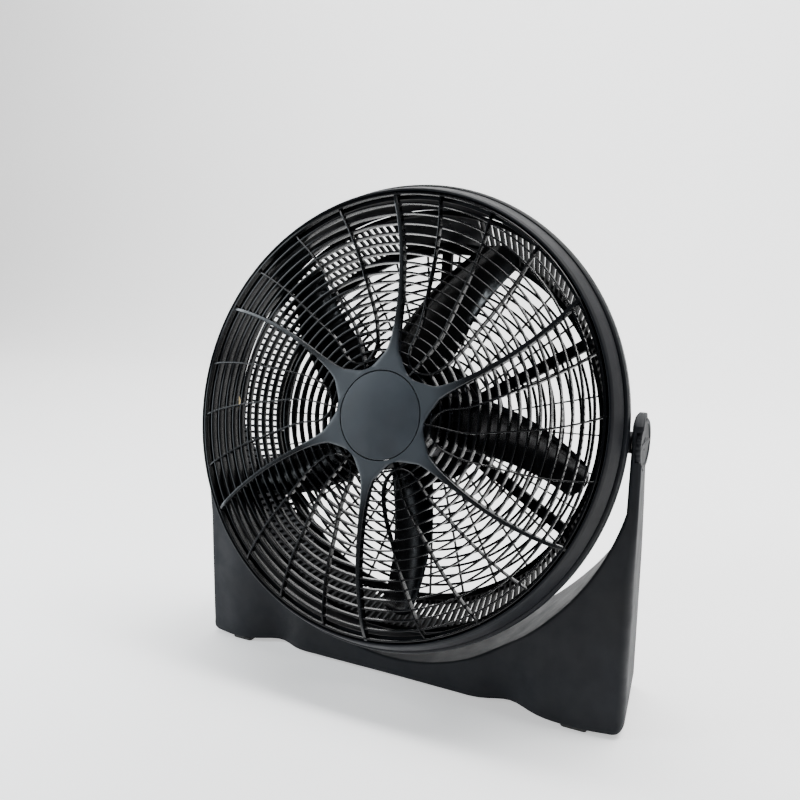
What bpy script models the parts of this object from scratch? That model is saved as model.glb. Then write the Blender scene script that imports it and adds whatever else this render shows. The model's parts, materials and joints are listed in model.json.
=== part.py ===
"""Tilting floor fan, 20 inch class, modelled as an assembly of separate pieces.

Frame: metres, +Z up, the airflow leaves towards -Y, +X is to the right of a person who
faces the front.  The origin is on the floor, under the middle of the bounding box.

The fan head is modelled in its own frame under an empty that sits on the tilt axis: local
-Y is the airflow direction, local +Z the head's own up.  Inside the head, "s" is the
distance in front of the tilt axis (s = -local y), "r" the distance from the fan's axis and
"phi" the angle about it, anticlockwise as seen from the front.
"""
import math

import bmesh
import bpy
from mathutils import Matrix, Vector

# ---------------------------------------------------------------- driving dimensions (m)
PIVOT_Z = 0.3193            # height of the tilt axis
PIVOT_Y = -0.0088           # puts the bounding box's middle over the origin
TILT = math.radians(15.6)   # how far the airflow points up at rest
GAP = 0.0003                # clearance between neighbouring pieces
WALL = 0.0026               # moulded wall

# Head, along s
GRILLE_R = 0.2480           # middle of the front grille's outer ring
GRILLE_FRONT_S = 0.0608
GRILLE_DEPTH = 0.0060
GRILLE_BAR = 0.0026         # width of a grille ring
GRILLE_RINGS = 4            # outer ring included
RIB_COUNT = 24              # every fourth one is a wide main rib
RIB_FIRST_DEG = 92.95       # a main rib's tip
RIB_SWEEP_DEG = 9.5         # how far a rib swirls between the hub and its tip
HUB_R = 0.0600              # grille hub plate
BADGE_R = 0.0500
SEAM_R = 0.2618             # where the bezel ends, on the shroud
SEAM_S = 0.0372
RIM_R = 0.2662              # widest circle of the head
MOTOR_RING_R = (0.0530, 0.0760)
RING_STEPS = 44             # facets round the casings

# Fan and motor
FAN_COUNT = 5
FAN_TIP_R = 0.2290
FAN_HUB_R = 0.0440
FAN_FIRST_DEG = 78.0
BLADE_CHORD = (0.0780, 0.0470)      # root, tip
BLADE_PITCH_DEG = (26.0, 8.0)
BLADE_SWEEP = 0.30          # radians the tip trails the root
SHAFT_R = 0.0040
SCREW_HOLE_R = 0.0021
MOTOR_R = 0.0460
MOTOR_STEPS = 18
SPEED_KNOB_Z = 0.0260       # above the fan's axis, on the back of the motor cover
GLAND_Z = -0.0380

# Base
BASE_BOTTOM = 0.0045        # the feet hold the moulding this far off the floor
ARM_TOP_R = 0.0320          # rounded arm top, about the tilt axis
ARM_INNER_X = 0.2680
SIDE_X = 0.2770             # outer side face at y = 0 ...
SIDE_DRAFT = 0.12           # ... and how fast it closes towards the back
SADDLE_R = 0.2765           # clearance arc for the head
SADDLE_FLAT = 0.0145        # how much further away the arc runs at its lowest point
SADDLE_STEPS = 13
CORNER_R = 0.0120           # bottom corner of the outline
VALLEY_X = 0.1570           # hollows in the front face, either side of the middle ...
VALLEY_SHIFT = -0.0120      # ... which sit a little to the left
KNOB_R = 0.0272
POCKET_FLOOR_X = 0.2725     # knob pocket in the arm
BOLT_R = 0.0040
COVER_SCREW_R = 0.0021
FOOT_X = 0.2280

# ---------------------------------------------------------------- scene and small helpers
for old in list(bpy.data.objects):
    bpy.data.objects.remove(old, do_unlink=True)


def material(name, colour, roughness, metallic=0.0):
    """Principled material for one piece."""
    mat = bpy.data.materials.new(name)
    mat.use_nodes = True
    shader = mat.node_tree.nodes["Principled BSDF"]
    shader.inputs["Base Color"].default_value = (*colour, 1.0)
    shader.inputs["Roughness"].default_value = roughness
    shader.inputs["Metallic"].default_value = metallic
    return mat


BLACK = ((0.018, 0.020, 0.024), 0.42, 0.0)
GLOSS = ((0.012, 0.014, 0.018), 0.22, 0.0)
HUB_GREY = ((0.045, 0.052, 0.062), 0.38, 0.0)
RUBBER = ((0.012, 0.012, 0.012), 0.85, 0.0)
STEEL = ((0.55, 0.56, 0.58), 0.30, 1.0)
CASTING = ((0.030, 0.031, 0.034), 0.50, 0.0)
IRON = ((0.16, 0.16, 0.17), 0.55, 1.0)
COPPER = ((0.62, 0.28, 0.12), 0.38, 1.0)
BRASS = ((0.72, 0.55, 0.25), 0.32, 1.0)
NYLON = ((0.60, 0.60, 0.56), 0.50, 0.0)
CASE_GREY = ((0.20, 0.21, 0.22), 0.45, 0.0)


def add_object(name, bm, look, parent=None, sharp_deg=35.0):
    """Turn a bmesh into a named object with outward normals and its own material."""
    bmesh.ops.remove_doubles(bm, verts=bm.verts, dist=1e-6)
    bmesh.ops.recalc_face_normals(bm, faces=bm.faces)
    mesh = bpy.data.meshes.new(name)
    bm.to_mesh(mesh)
    bm.free()
    mesh.shade_smooth()
    mesh.set_sharp_from_angle(angle=math.radians(sharp_deg))
    obj = bpy.data.objects.new(name, mesh)
    bpy.context.collection.objects.link(obj)
    mesh.materials.append(material(name + "_look", *look))
    if parent is not None:
        obj.parent = parent
    return obj


def empty(name, location, rotation=(0.0, 0.0, 0.0), parent=None):
    """Empty that carries a moving group on its joint's axis."""
    obj = bpy.data.objects.new(name, None)
    obj.location = location
    obj.rotation_euler = rotation
    obj.parent = parent
    bpy.context.collection.objects.link(obj)
    return obj


def head_point(r, s, phi):
    """Point in the head's frame."""
    return Vector((r * math.cos(phi), -s, r * math.sin(phi)))


def closed_profile(bm, points, steps):
    """Spin a closed (r, s) profile about the fan axis into a ring."""
    rows = []
    for i in range(steps):
        phi = 2.0 * math.pi * i / steps
        rows.append([bm.verts.new(head_point(r, s, phi)) for r, s in points])
    for row, following in zip(rows, rows[1:] + rows[:1]):
        for j in range(len(points)):
            k = (j + 1) % len(points)
            bm.faces.new((row[j], row[k], following[k], following[j]))


def turned(name, points, steps, look, parent, at=(0.0, 0.0)):
    """Ring or disc turned about an axis parallel to the fan's, at local (x, z) = at.

    A profile whose two ends are on the axis (r = 0) makes a solid disc.
    """
    bm = bmesh.new()
    solid = points[0][0] == 0.0 and points[-1][0] == 0.0
    if solid:
        tips = [bm.verts.new(head_point(0.0, points[i][1], 0.0)) for i in (0, -1)]
        rows = []
        for i in range(steps):
            phi = 2.0 * math.pi * i / steps
            rows.append([bm.verts.new(head_point(r, s, phi)) for r, s in points[1:-1]])
        for row, following in zip(rows, rows[1:] + rows[:1]):
            bm.faces.new((tips[0], row[0], following[0]))
            for j in range(len(row) - 1):
                bm.faces.new((row[j], row[j + 1], following[j + 1], following[j]))
            bm.faces.new((row[-1], tips[1], following[-1]))
    else:
        closed_profile(bm, points, steps)
    bmesh.ops.translate(bm, verts=bm.verts, vec=(at[0], 0.0, at[1]))
    return add_object(name, bm, look, parent)


def along_x(name, points, steps, look, parent, side):
    """Piece turned about the tilt axis from (r, x) points; side is +1 right, -1 left."""
    obj = turned(name, points, steps, look, None)
    # local -Y, the profile's s, is turned onto +X or -X
    obj.data.transform(Matrix.Rotation(side * math.pi / 2.0, 4, "Z"))
    obj.parent = parent
    return obj


def cut(obj, cutters, operation="DIFFERENCE"):
    """Boolean each cutter into the object and apply it."""
    for cutter in cutters:
        mod = obj.modifiers.new("cut", "BOOLEAN")
        mod.operation = operation
        mod.solver = "EXACT"
        mod.object = cutter
        bpy.context.view_layer.update()
        depsgraph = bpy.context.evaluated_depsgraph_get()
        mesh = bpy.data.meshes.new_from_object(obj.evaluated_get(depsgraph))
        obj.modifiers.clear()
        obj.data = mesh
        bpy.data.objects.remove(cutter, do_unlink=True)
    obj.data.shade_smooth()
    obj.data.set_sharp_from_angle(angle=math.radians(35.0))


def x_cylinder(radius, x0, x1, steps=24, y=0.0, z=0.0):
    """Plain cylinder along X, used as a cutter or a boss."""
    bm = bmesh.new()
    bmesh.ops.create_cone(bm, cap_ends=True, segments=steps, radius1=radius, radius2=radius,
                          depth=abs(x1 - x0))
    place = Matrix.Translation(((x0 + x1) / 2.0, y, z)) @ Matrix.Rotation(math.pi / 2.0, 4, "Y")
    bmesh.ops.transform(bm, matrix=place, verts=bm.verts)
    return add_object("tool", bm, BLACK)


def y_cylinder(radius, y0, y1, x, z, steps=16, name="tool", look=BLACK, parent=None):
    """Plain cylinder along Y."""
    bm = bmesh.new()
    bmesh.ops.create_cone(bm, cap_ends=True, segments=steps, radius1=radius, radius2=radius,
                          depth=abs(y1 - y0))
    place = Matrix.Translation((x, (y0 + y1) / 2.0, z)) @ Matrix.Rotation(math.pi / 2.0, 4, "X")
    bmesh.ops.transform(bm, matrix=place, verts=bm.verts)
    return add_object(name, bm, look, parent)


def lerp(a, b, t):
    return a + (b - a) * t


def smooth(t):
    """Smooth step from 0 to 1."""
    t = min(max(t, 0.0), 1.0)
    return t * t * (3.0 - 2.0 * t)


# ---------------------------------------------------------------- polar lattice (grilles)
def lattice(name, path, angles, filled, swirl, thickness, look, parent):
    """Grille on a surface of revolution, made of the filled cells of a polar grid.

    path       (r, s) points from the outside in; cell row i lies between points i and i + 1
    angles     cell edges in radians, going once round
    filled     filled(row, column) says whether a cell is material
    swirl      swirl(r) is the angle added at radius r
    thickness  how far the back of the grille lies behind the front
    """
    bm = bmesh.new()
    rows, columns = len(path) - 1, len(angles)
    layers = []
    for back in (0.0, 1.0):
        layer = []
        for r, s in path:
            ring = []
            for angle in angles:
                point = head_point(r, s - back * thickness(r), angle + swirl(r))
                ring.append(bm.verts.new(point))
            layer.append(ring)
        layers.append(layer)
    front, rear = layers

    def material_at(i, j):
        return 0 <= i < rows and filled(i, j % columns)

    for i in range(rows):
        for j in range(columns):
            if not material_at(i, j):
                continue
            k = (j + 1) % columns
            bm.faces.new((front[i][j], front[i][k], front[i + 1][k], front[i + 1][j]))
            bm.faces.new((rear[i][j], rear[i + 1][j], rear[i + 1][k], rear[i][k]))
            if not material_at(i - 1, j):
                bm.faces.new((front[i][j], rear[i][j], rear[i][k], front[i][k]))
            if not material_at(i + 1, j):
                bm.faces.new((front[i + 1][j], front[i + 1][k], rear[i + 1][k], rear[i + 1][j]))
            if not material_at(i, j - 1):
                bm.faces.new((front[i][j], front[i + 1][j], rear[i + 1][j], rear[i][j]))
            if not material_at(i, j + 1):
                bm.faces.new((front[i][k], rear[i][k], rear[i + 1][k], front[i + 1][k]))
    loose = [v for v in bm.verts if not v.link_faces]
    bmesh.ops.delete(bm, geom=loose, context="VERTS")
    return add_object(name, bm, look, parent)


# ---------------------------------------------------------------- base outline
def saddle_radius(drop):
    """Radius of the saddle about the tilt axis; drop is the angle from straight down."""
    flat = math.cos(min(abs(1.8 * drop), math.pi / 2.0)) ** 2
    return SADDLE_R + SADDLE_FLAT * flat


def front_y(x, z):
    """Depth of the base's front face: crowned legs stand forward, a valley beside each."""
    height = min(max((PIVOT_Z - z) / PIVOT_Z, 0.0), 1.0)
    leg = -0.0320 - 0.0170 * height ** 0.8
    low = smooth((0.16 - z) / 0.16)
    across = abs(x - VALLEY_SHIFT)
    valley = 0.0190 * low * math.exp(-((across - VALLEY_X) / 0.030) ** 2)
    middle = 0.0065 * low * smooth((0.15 - across) / 0.06)
    crown = lerp(0.0090, 0.0062, height) * smooth((abs(x) - 0.225) / 0.052)
    return leg + valley + middle + crown


def back_y(z):
    """Depth of the base's back edge."""
    return 0.0320 + 0.0450 * smooth((PIVOT_Z - z) / 0.15)


def side_x(y):
    """Outer side face, which closes slightly towards the back."""
    return SIDE_X - SIDE_DRAFT * y


def arc_points(cx, cz, radius, a0, a1, count):
    """Points on an arc in the XZ plane, ends included, angles in degrees."""
    points = []
    for i in range(count):
        a = math.radians(lerp(a0, a1, i / (count - 1)))
        points.append((cx + radius * math.cos(a), cz + radius * math.sin(a)))
    return points


def base_stations():
    """Pairs of (inner, outer) outline points in XZ, from the right arm's top to x = 0.

    The outer point's x is a fraction of the side face: 1 on it, less inside the rounded
    bottom corner.
    """
    meet = math.asin(ARM_INNER_X / SADDLE_R)
    meet_z = PIVOT_Z - SADDLE_R * math.cos(meet)
    # rounded arm top, then the straight arm
    stations = [((ARM_INNER_X + 0.0016, PIVOT_Z + 0.0319), (0.992, PIVOT_Z + 0.0319))]
    for above in (0.0306, 0.0270, 0.0220, 0.0110, -0.0150):
        stations.append(((ARM_INNER_X, PIVOT_Z + above), (1.0, PIVOT_Z + above)))
    above_meet = lerp(PIVOT_Z, meet_z, 0.6)
    stations.append(((ARM_INNER_X, above_meet), (1.0, above_meet)))
    outer = []
    low_corner = BASE_BOTTOM + CORNER_R
    for i in range(5):
        outer.append((1.0, lerp(meet_z, low_corner, i / 4.0)))
    for x, z in arc_points(1.0, low_corner, CORNER_R, 0.0, -90.0, 4)[1:]:
        outer.append((1.0 + (x - 1.0 - CORNER_R) / SIDE_X, z))
    last_x = outer[-1][0]
    remaining = SADDLE_STEPS - len(outer)
    for i in range(1, remaining + 1):
        outer.append((lerp(last_x, 0.0, i / remaining), BASE_BOTTOM))
    for i, outside in enumerate(outer):
        drop = lerp(meet, 0.0, (i / (SADDLE_STEPS - 1)) ** 0.9)
        radius = saddle_radius(drop)
        stations.append(((radius * math.sin(drop), PIVOT_Z - radius * math.cos(drop)), outside))
    return stations


def arm_half_depth(z):
    """Half depth of the rounded arm top above the tilt axis."""
    above = max(z - PIVOT_Z, 0.0)
    return math.sqrt(max(ARM_TOP_R ** 2 - above ** 2, 1e-8))


def section_depth(x, z):
    """Front y of the moulding, which ends in the round arm top."""
    y = front_y(x, z)
    return max(y, -arm_half_depth(z)) if z >= PIVOT_Z else y


def section_back(z):
    """Back y of the moulding."""
    return arm_half_depth(z) if z >= PIVOT_Z else back_y(z)


def section_point(station, sign, distance, y):
    """Point a distance from the inner edge towards the outer one, at depth y."""
    (xi, zi), (fraction, zo), length, _ = station
    t = distance / length
    x = lerp(xi, fraction * side_x(y), t)
    return Vector((sign * x, y + PIVOT_Y, lerp(zi, zo, t)))


def front_loop(station, sign, inset, back):
    """Loop across the moulding: inner back edge, front face, outer back edge."""
    (xi, zi), (fraction, zo), length, corner = station

    def face(d):
        t = d / length
        return section_depth(sign * lerp(xi, fraction * SIDE_X, t), lerp(zi, zo, t))

    edge = min(0.0035, 0.3 * length)
    outer = length - corner
    steps = [(inset, back)]
    for a in (0.0, 45.0, 90.0):
        c, s = math.cos(math.radians(a)), math.sin(math.radians(a))
        radius = edge - inset if edge > inset else 0.0004
        steps.append((inset + radius * (1.0 - c), face(edge) + inset + radius * (1.0 - s)))
    for t in (0.25, 0.50, 0.75):
        d = lerp(max(edge, inset + 0.0004), outer, t)
        steps.append((d, face(d) + inset))
    for a in (0.0, 30.0, 60.0, 90.0):
        c, s = math.cos(math.radians(a)), math.sin(math.radians(a))
        radius = corner - inset if corner > inset else 0.0004
        centre = length - inset - radius
        steps.append((centre + radius * s, face(outer) + inset + radius * (1.0 - c)))
    steps.append((length - inset, back))
    return [section_point(station, sign, d, y) for d, y in steps]


def plate_loop(station, sign, inset, y0, y1):
    """Rectangular loop across the moulding between two depths."""
    length = station[2]
    corners = ((inset, y1), (inset, y0), (length - inset, y0), (length - inset, y1))
    return [section_point(station, sign, d, y) for d, y in corners]


def with_corner(station):
    """Add the section's length and its front corner radius to a station."""
    (xi, zi), (fraction, zo) = station
    length = math.hypot(fraction * SIDE_X - xi, zo - zi)
    on_side = smooth((zo - BASE_BOTTOM) / CORNER_R)
    corner = min(lerp(0.0040, 0.0160, on_side), 0.35 * length)
    return (xi, zi), (fraction, zo), length, corner


def loft(loops):
    """Closed solid through a row of equal point loops, capped at both ends."""
    bm = bmesh.new()
    rows = [[bm.verts.new(p) for p in loop] for loop in loops]
    count = len(rows[0])
    for row, following in zip(rows, rows[1:]):
        for j in range(count):
            k = (j + 1) % count
            bm.faces.new((row[j], row[k], following[k], following[j]))
    bm.faces.new(rows[0])
    bm.faces.new(rows[-1])
    return bm


HALF = [with_corner(station) for station in base_stations()]
CAVITY_FROM = 7             # the arms are solid above this station
FULL = [(station, 1.0) for station in HALF] + [(station, -1.0) for station in HALF[-2::-1]]
HOLLOW = FULL[CAVITY_FROM:len(FULL) - CAVITY_FROM]


def mean_z(station):
    return (station[0][1] + station[1][1]) / 2.0


# ---------------------------------------------------------------- base assembly
def build_base():
    outer = loft([front_loop(st, sign, 0.0, section_back(mean_z(st))) for st, sign in FULL])
    shell = add_object("base_shell", outer, BLACK)
    past_back = 0.02
    inner = loft([front_loop(st, sign, WALL, section_back(mean_z(st)) + past_back) for st, sign in HOLLOW])
    cavity = add_object("tool", inner, BLACK)
    cut(shell, [cavity])
    screws = [(x * side, z) for side in (-1.0, 1.0) for x, z in ((0.205, 0.050), (0.075, 0.0195))]
    for x, z in screws:
        deck = back_y(z) + PIVOT_Y
        boss = y_cylinder(0.0050, front_y(x, z) + PIVOT_Y + 0.001, deck - 0.0045, x, z, 12)
        cut(shell, [boss], "UNION")
        cut(shell, [y_cylinder(COVER_SCREW_R, deck - 0.020, deck + 0.010, x, z, 12)])
    for side in (-1.0, 1.0):
        pocket = x_cylinder(KNOB_R + 0.0012, side * POCKET_FLOOR_X, side * 0.30, 32, PIVOT_Y, PIVOT_Z)
        bore = x_cylinder(0.0080, side * 0.26, side * 0.30, 20, PIVOT_Y, PIVOT_Z)
        cut(shell, [pocket, bore])

    cover_in = WALL + GAP
    loops = []
    for st, sign in HOLLOW[1:-1]:
        back = section_back(mean_z(st))
        loops.append(plate_loop(st, sign, cover_in, back - 0.0036, back - 0.0008))
    cover = add_object("base_back_cover", loft(loops), BLACK)
    for number, (x, z) in enumerate(screws, 1):
        deck = back_y(z) + PIVOT_Y
        cut(cover, [y_cylinder(COVER_SCREW_R, deck - 0.020, deck + 0.010, x, z, 12)])
        head = [(0.0, 0.0022), (0.0040, 0.0018), (0.0044, 0.0), (0.0018, 0.0), (0.0018, -0.0120),
                (0.0, -0.0135)]
        screw = turned("cover_screw_%d" % number, head, 12, STEEL, None)
        screw.data.transform(Matrix.Rotation(math.pi, 4, "Z"))
        screw.data.transform(Matrix.Translation((x, deck - 0.0005, z)))

    for fore, y in (("front", -0.034), ("rear", 0.058)):
        for label, side in (("left", -1.0), ("right", 1.0)):
            bm = bmesh.new()
            bmesh.ops.create_cube(bm, size=1.0)
            size = Matrix.Diagonal((0.030, 0.022, BASE_BOTTOM - GAP, 1.0))
            place = Matrix.Translation((side * FOOT_X, y + PIVOT_Y, (BASE_BOTTOM - GAP) / 2.0))
            bmesh.ops.transform(bm, matrix=place @ size, verts=bm.verts)
            foot = add_object("foot_%s_%s" % (fore, label), bm, RUBBER)
            bevel = foot.modifiers.new("soft edge", "BEVEL")
            bevel.width = 0.0012
            bevel.segments = 1
            bevel.limit_method = "ANGLE"


# ---------------------------------------------------------------- tilt pivots
def build_pivots():
    """Clamp bolt, bush, washer and knob on each end of the tilt axis."""
    for label, side in (("left", -1.0), ("right", 1.0)):
        axis = empty("pivot_" + label, (0.0, PIVOT_Y, PIVOT_Z))
        bush = [(0.0076, 0.2682), (0.0076, 0.2723), (0.0045, 0.2723), (0.0045, 0.2682)]
        along_x("pivot_bush_" + label, bush, 20, NYLON, axis, side)
        blind_bore = [(0.0, 0.2753), (0.0044, 0.2753)]
        knob = [(0.0044, 0.2728), (KNOB_R - 0.0010, 0.2728), (KNOB_R, 0.2740), (KNOB_R, 0.2762),
                (KNOB_R - 0.0014, 0.2774), (0.0190, 0.2779), (0.0, 0.2781)]
        along_x("tilt_knob_" + label, blind_bore + knob, 28, BLACK, axis, side)
        bolt = [(0.0, 0.2750), (BOLT_R, 0.2750), (BOLT_R, 0.2500), (BOLT_R - 0.0008, 0.2490),
                (0.0, 0.2490)]
        along_x("pivot_bolt_" + label, bolt, 16, STEEL, axis, side)
        washer = [(0.0112, 0.2658), (0.0112, 0.2677), (0.0045, 0.2677), (0.0045, 0.2658)]
        along_x("pivot_washer_" + label, washer, 20, NYLON, axis, side)


# ---------------------------------------------------------------- head: casings and grilles
def thin_ring(outer_path, inner_path):
    """Closed profile of a thin moulded ring from its outer and inner faces."""
    return outer_path + list(reversed(inner_path))


def build_bezel(head):
    """Front ring: a ledge for the grille, a low crest, then a crowned cone out to the seam."""
    outer = [(0.2440, 0.0494), (0.2508, 0.0494), (0.2511, 0.0568), (0.2519, 0.0584), (0.2535, 0.0578),
             (0.2557, 0.0540), (0.2590, 0.0452), (SEAM_R, SEAM_S)]
    inner = [(0.2440, 0.0470), (0.2531, 0.0470), (0.2533, 0.0530), (0.2540, 0.0534), (0.2547, 0.0522),
             (0.2568, 0.0448), (SEAM_R - 0.0024, SEAM_S)]
    turned("front_bezel", thin_ring(outer, inner), RING_STEPS, BLACK, head)


def swirl(r):
    """Angle by which a rib at radius r trails its tip."""
    return -math.radians(RIB_SWEEP_DEG) * (1.0 - (r / GRILLE_R) ** 2)


def build_front_grille(head):
    rib = math.radians(360.0 / RIB_COUNT)
    half_bar = math.radians(0.45)
    angles = []
    for i in range(RIB_COUNT):
        centre = math.radians(RIB_FIRST_DEG) + i * rib
        angles += [centre - half_bar, centre + half_bar, centre + rib / 2.0]
    pitch = (GRILLE_R - HUB_R) / GRILLE_RINGS
    edges = []
    for i in range(GRILLE_RINGS):
        r = GRILLE_R - i * pitch
        edges += [r + GRILLE_BAR / 2.0, r - GRILLE_BAR / 2.0]
    edges += [HUB_R, 0.0120]
    path = [(r, GRILLE_FRONT_S) for r in edges]

    def filled(row, column):
        ring_or_hub = row % 2 == 0
        return ring_or_hub or column % 3 == 0

    lattice("front_grille", path, angles, filled, swirl, lambda r: GRILLE_DEPTH, BLACK, head)
    badge = [(0.0, 0.0628), (BADGE_R - 0.0010, 0.0624), (BADGE_R, 0.0618), (BADGE_R, 0.0611),
             (0.0115, 0.0611), (0.0115, 0.0550), (0.0, 0.0550)]
    turned("hub_badge", badge, 32, HUB_GREY, head)


def build_rear_shroud(head):
    """Ring behind the bezel: a tongue inside it, the head's widest rim, the pivot bosses."""
    tongue = SEAM_R - 0.0027
    outer = [(0.2571, 0.0430), (tongue, SEAM_S - GAP), (SEAM_R + 0.0012, SEAM_S - GAP), (0.2650, 0.0350),
             (RIM_R, 0.0310), (RIM_R, 0.0240), (0.2650, 0.0215), (0.2625, 0.0205), (0.2604, 0.0060),
             (0.2528, -0.0120)]
    inner = [(0.2547, 0.0430), (tongue - 0.0025, SEAM_S), (0.2612, 0.0343), (0.2634, 0.0305),
             (0.2634, 0.0245), (0.2596, 0.0200), (0.2578, 0.0060), (0.2503, -0.0120)]
    shroud = turned("rear_shroud", thin_ring(outer, inner), RING_STEPS, BLACK, None)
    for side in (-1.0, 1.0):
        cut(shroud, [x_cylinder(0.0114, side * 0.2455, side * 0.2655)], "UNION")
        cut(shroud, [x_cylinder(0.0082, side * 0.2420, side * 0.2530, 6)])
        cut(shroud, [x_cylinder(0.0046, side * 0.2400, side * 0.2800, 16)])
    shroud.parent = head
    for label, side in (("left", -1.0), ("right", 1.0)):
        nut = [(0.0078, 0.2462), (0.0078, 0.2524), (0.0050, 0.2524), (0.0050, 0.2462)]
        along_x("pivot_nut_" + label, nut, 6, BRASS, head, side)


def build_rear_grille(head):
    slats = 30
    angles = []
    for i in range(slats):
        centre = 2.0 * math.pi * (i + 0.5) / slats
        angles += [centre - math.radians(1.5), centre + math.radians(1.5)]
    flange = [(0.2500, -0.0130), (0.2465, -0.0150)]
    shoulder = [(0.2235, -0.0640), (0.2130, -0.0720)]
    face = [(0.1720, -0.0765), (0.1680, -0.0768), (0.1240, -0.0790), (0.1200, -0.0791)]
    centre = [(MOTOR_RING_R[1], -0.0800), (MOTOR_RING_R[0], -0.0800)]
    path = flange + shoulder + face + centre
    plate = range(12, 17)       # columns closed by the plate under the carry handle

    def filled(row, column):
        if row % 2 == 0 or row == 1 and (column % 2 == 0 or column in plate):
            return True
        return column % 5 == 0

    def depth(r):
        return lerp(0.0060, 0.0032, smooth((0.25 - r) / 0.03))

    grille = lattice("rear_grille", path, angles, filled, lambda r: 0.0, depth, BLACK, None)
    for x, z in motor_screw_places():
        cut(grille, [y_cylinder(SCREW_HOLE_R, 0.0700, 0.0900, x, z, 10)])
    grille.parent = head


def motor_screw_places():
    """The four screws that hold the motor to the rear grille, as local (x, z)."""
    places = []
    for number in range(4):
        phi = math.radians(45.0 + 90.0 * number)
        places.append((0.0645 * math.cos(phi), 0.0645 * math.sin(phi)))
    return places


# ---------------------------------------------------------------- head: motor and controls
def build_motor(head):
    """Motor on the rear grille: two bells, a wound stator and the bearings."""
    r = MOTOR_R
    inside = r - 0.0030
    front_bell = [(0.0085, -0.0130), (0.0200, -0.0130), (0.0400, -0.0180), (r, -0.0240), (r, -0.0318),
                  (inside, -0.0318), (inside, -0.0250), (0.0380, -0.0205), (0.0190, -0.0160),
                  (0.0150, -0.0160), (0.0150, -0.0230), (0.0085, -0.0230)]
    turned("motor_front_bell", front_bell, MOTOR_STEPS, CASTING, head)
    rear_bell = [(r, -0.0602), (r, -0.0700), (0.0570, -0.0765), (0.0700, -0.0765), (0.0700, -0.0795),
                 (0.0510, -0.0795), (0.0400, -0.0780), (0.0085, -0.0780), (0.0085, -0.0690),
                 (0.0150, -0.0690), (0.0150, -0.0750), (0.0400, -0.0750), (inside, -0.0680),
                 (inside, -0.0602)]
    rear = turned("motor_rear_bell", rear_bell, MOTOR_STEPS, CASTING, None)
    for x, z in motor_screw_places():
        cut(rear, [y_cylinder(SCREW_HOLE_R, 0.0700, 0.0900, x, z, 10)])
    rear.parent = head
    stator = [(r, -0.0322), (r, -0.0598), (0.0262, -0.0598), (0.0262, -0.0322)]
    turned("stator_core", stator, MOTOR_STEPS, IRON, head)
    for name, s0, s1 in (("winding_front", -0.0318, -0.0240), ("winding_rear", -0.0690, -0.0602)):
        middle = (s0 + s1) / 2.0
        coil = [(0.0400, s0), (0.0410, middle), (0.0390, s1), (0.0290, s1), (0.0275, middle),
                (0.0280, s0)]
        turned(name, coil, MOTOR_STEPS, COPPER, head)
    for name, s in (("bearing_front", -0.0165), ("bearing_rear", -0.0695)):
        race = [(0.0082, s), (0.0082, s - 0.0060), (SHAFT_R + GAP, s - 0.0060), (SHAFT_R + GAP, s)]
        turned(name, race, 20, BRASS, head)
    screw = [(0.0, -0.0730), (0.0034, -0.0734), (0.0034, -0.0762), (0.0016, -0.0762), (0.0016, -0.0832),
             (0.0, -0.0832)]
    for number, at in enumerate(motor_screw_places(), 1):
        turned("motor_screw_%d" % number, screw, 10, STEEL, head, at)


def build_motor_cover(head):
    """Cup behind the motor, and the electrical parts in it."""
    cover = [(0.0, -0.1225), (0.0520, -0.1215), (0.0600, -0.1180), (0.0640, -0.1110), (0.0700, -0.0838),
             (0.0674, -0.0838), (0.0614, -0.1105), (0.0580, -0.1160), (0.0510, -0.1190), (0.0, -0.1200)]
    cover_obj = turned("motor_cover", cover, 28, BLACK, None)
    for radius, z in ((0.0040, SPEED_KNOB_Z), (0.0050, GLAND_Z)):
        cut(cover_obj, [y_cylinder(radius, 0.1150, 0.1300, 0.0, z, 16)])
    cover_obj.parent = head
    switch = [(0.0, -0.0975), (0.0140, -0.0975), (0.0140, -0.1165), (0.0036, -0.1165), (0.0036, -0.1245),
              (0.0, -0.1245)]
    turned("speed_switch", switch, 16, CASE_GREY, head, (0.0, SPEED_KNOB_Z))
    capacitor = [(0.0, -0.0836), (0.0110, -0.0836), (0.0110, -0.1130), (0.0, -0.1130)]
    turned("capacitor", capacitor, 16, CASE_GREY, head, (-0.0340, -0.0060))
    block = [(0.0, -0.0836), (0.0080, -0.0836), (0.0080, -0.1100), (0.0, -0.1100)]
    turned("terminal_block", block, 8, NYLON, head, (0.0340, -0.0060))
    gland = [(0.0018, -0.1140), (0.0046, -0.1140), (0.0046, -0.1228), (0.0085, -0.1228), (0.0080, -0.1270),
             (0.0050, -0.1330), (0.0018, -0.1330)]
    turned("cord_gland", gland, 16, RUBBER, head, (0.0, GLAND_Z))


def build_speed_knob(head):
    axis = empty("speed_knob_axis", (0.0, 0.1270, SPEED_KNOB_Z), parent=head)
    knob = [(0.0, -0.0114), (0.0125, -0.0109), (0.0145, -0.0020), (0.0150, 0.0030), (0.0040, 0.0030),
            (0.0040, -0.0001), (0.0, -0.0001)]
    turned("speed_knob", knob, 24, BLACK, axis)


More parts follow.
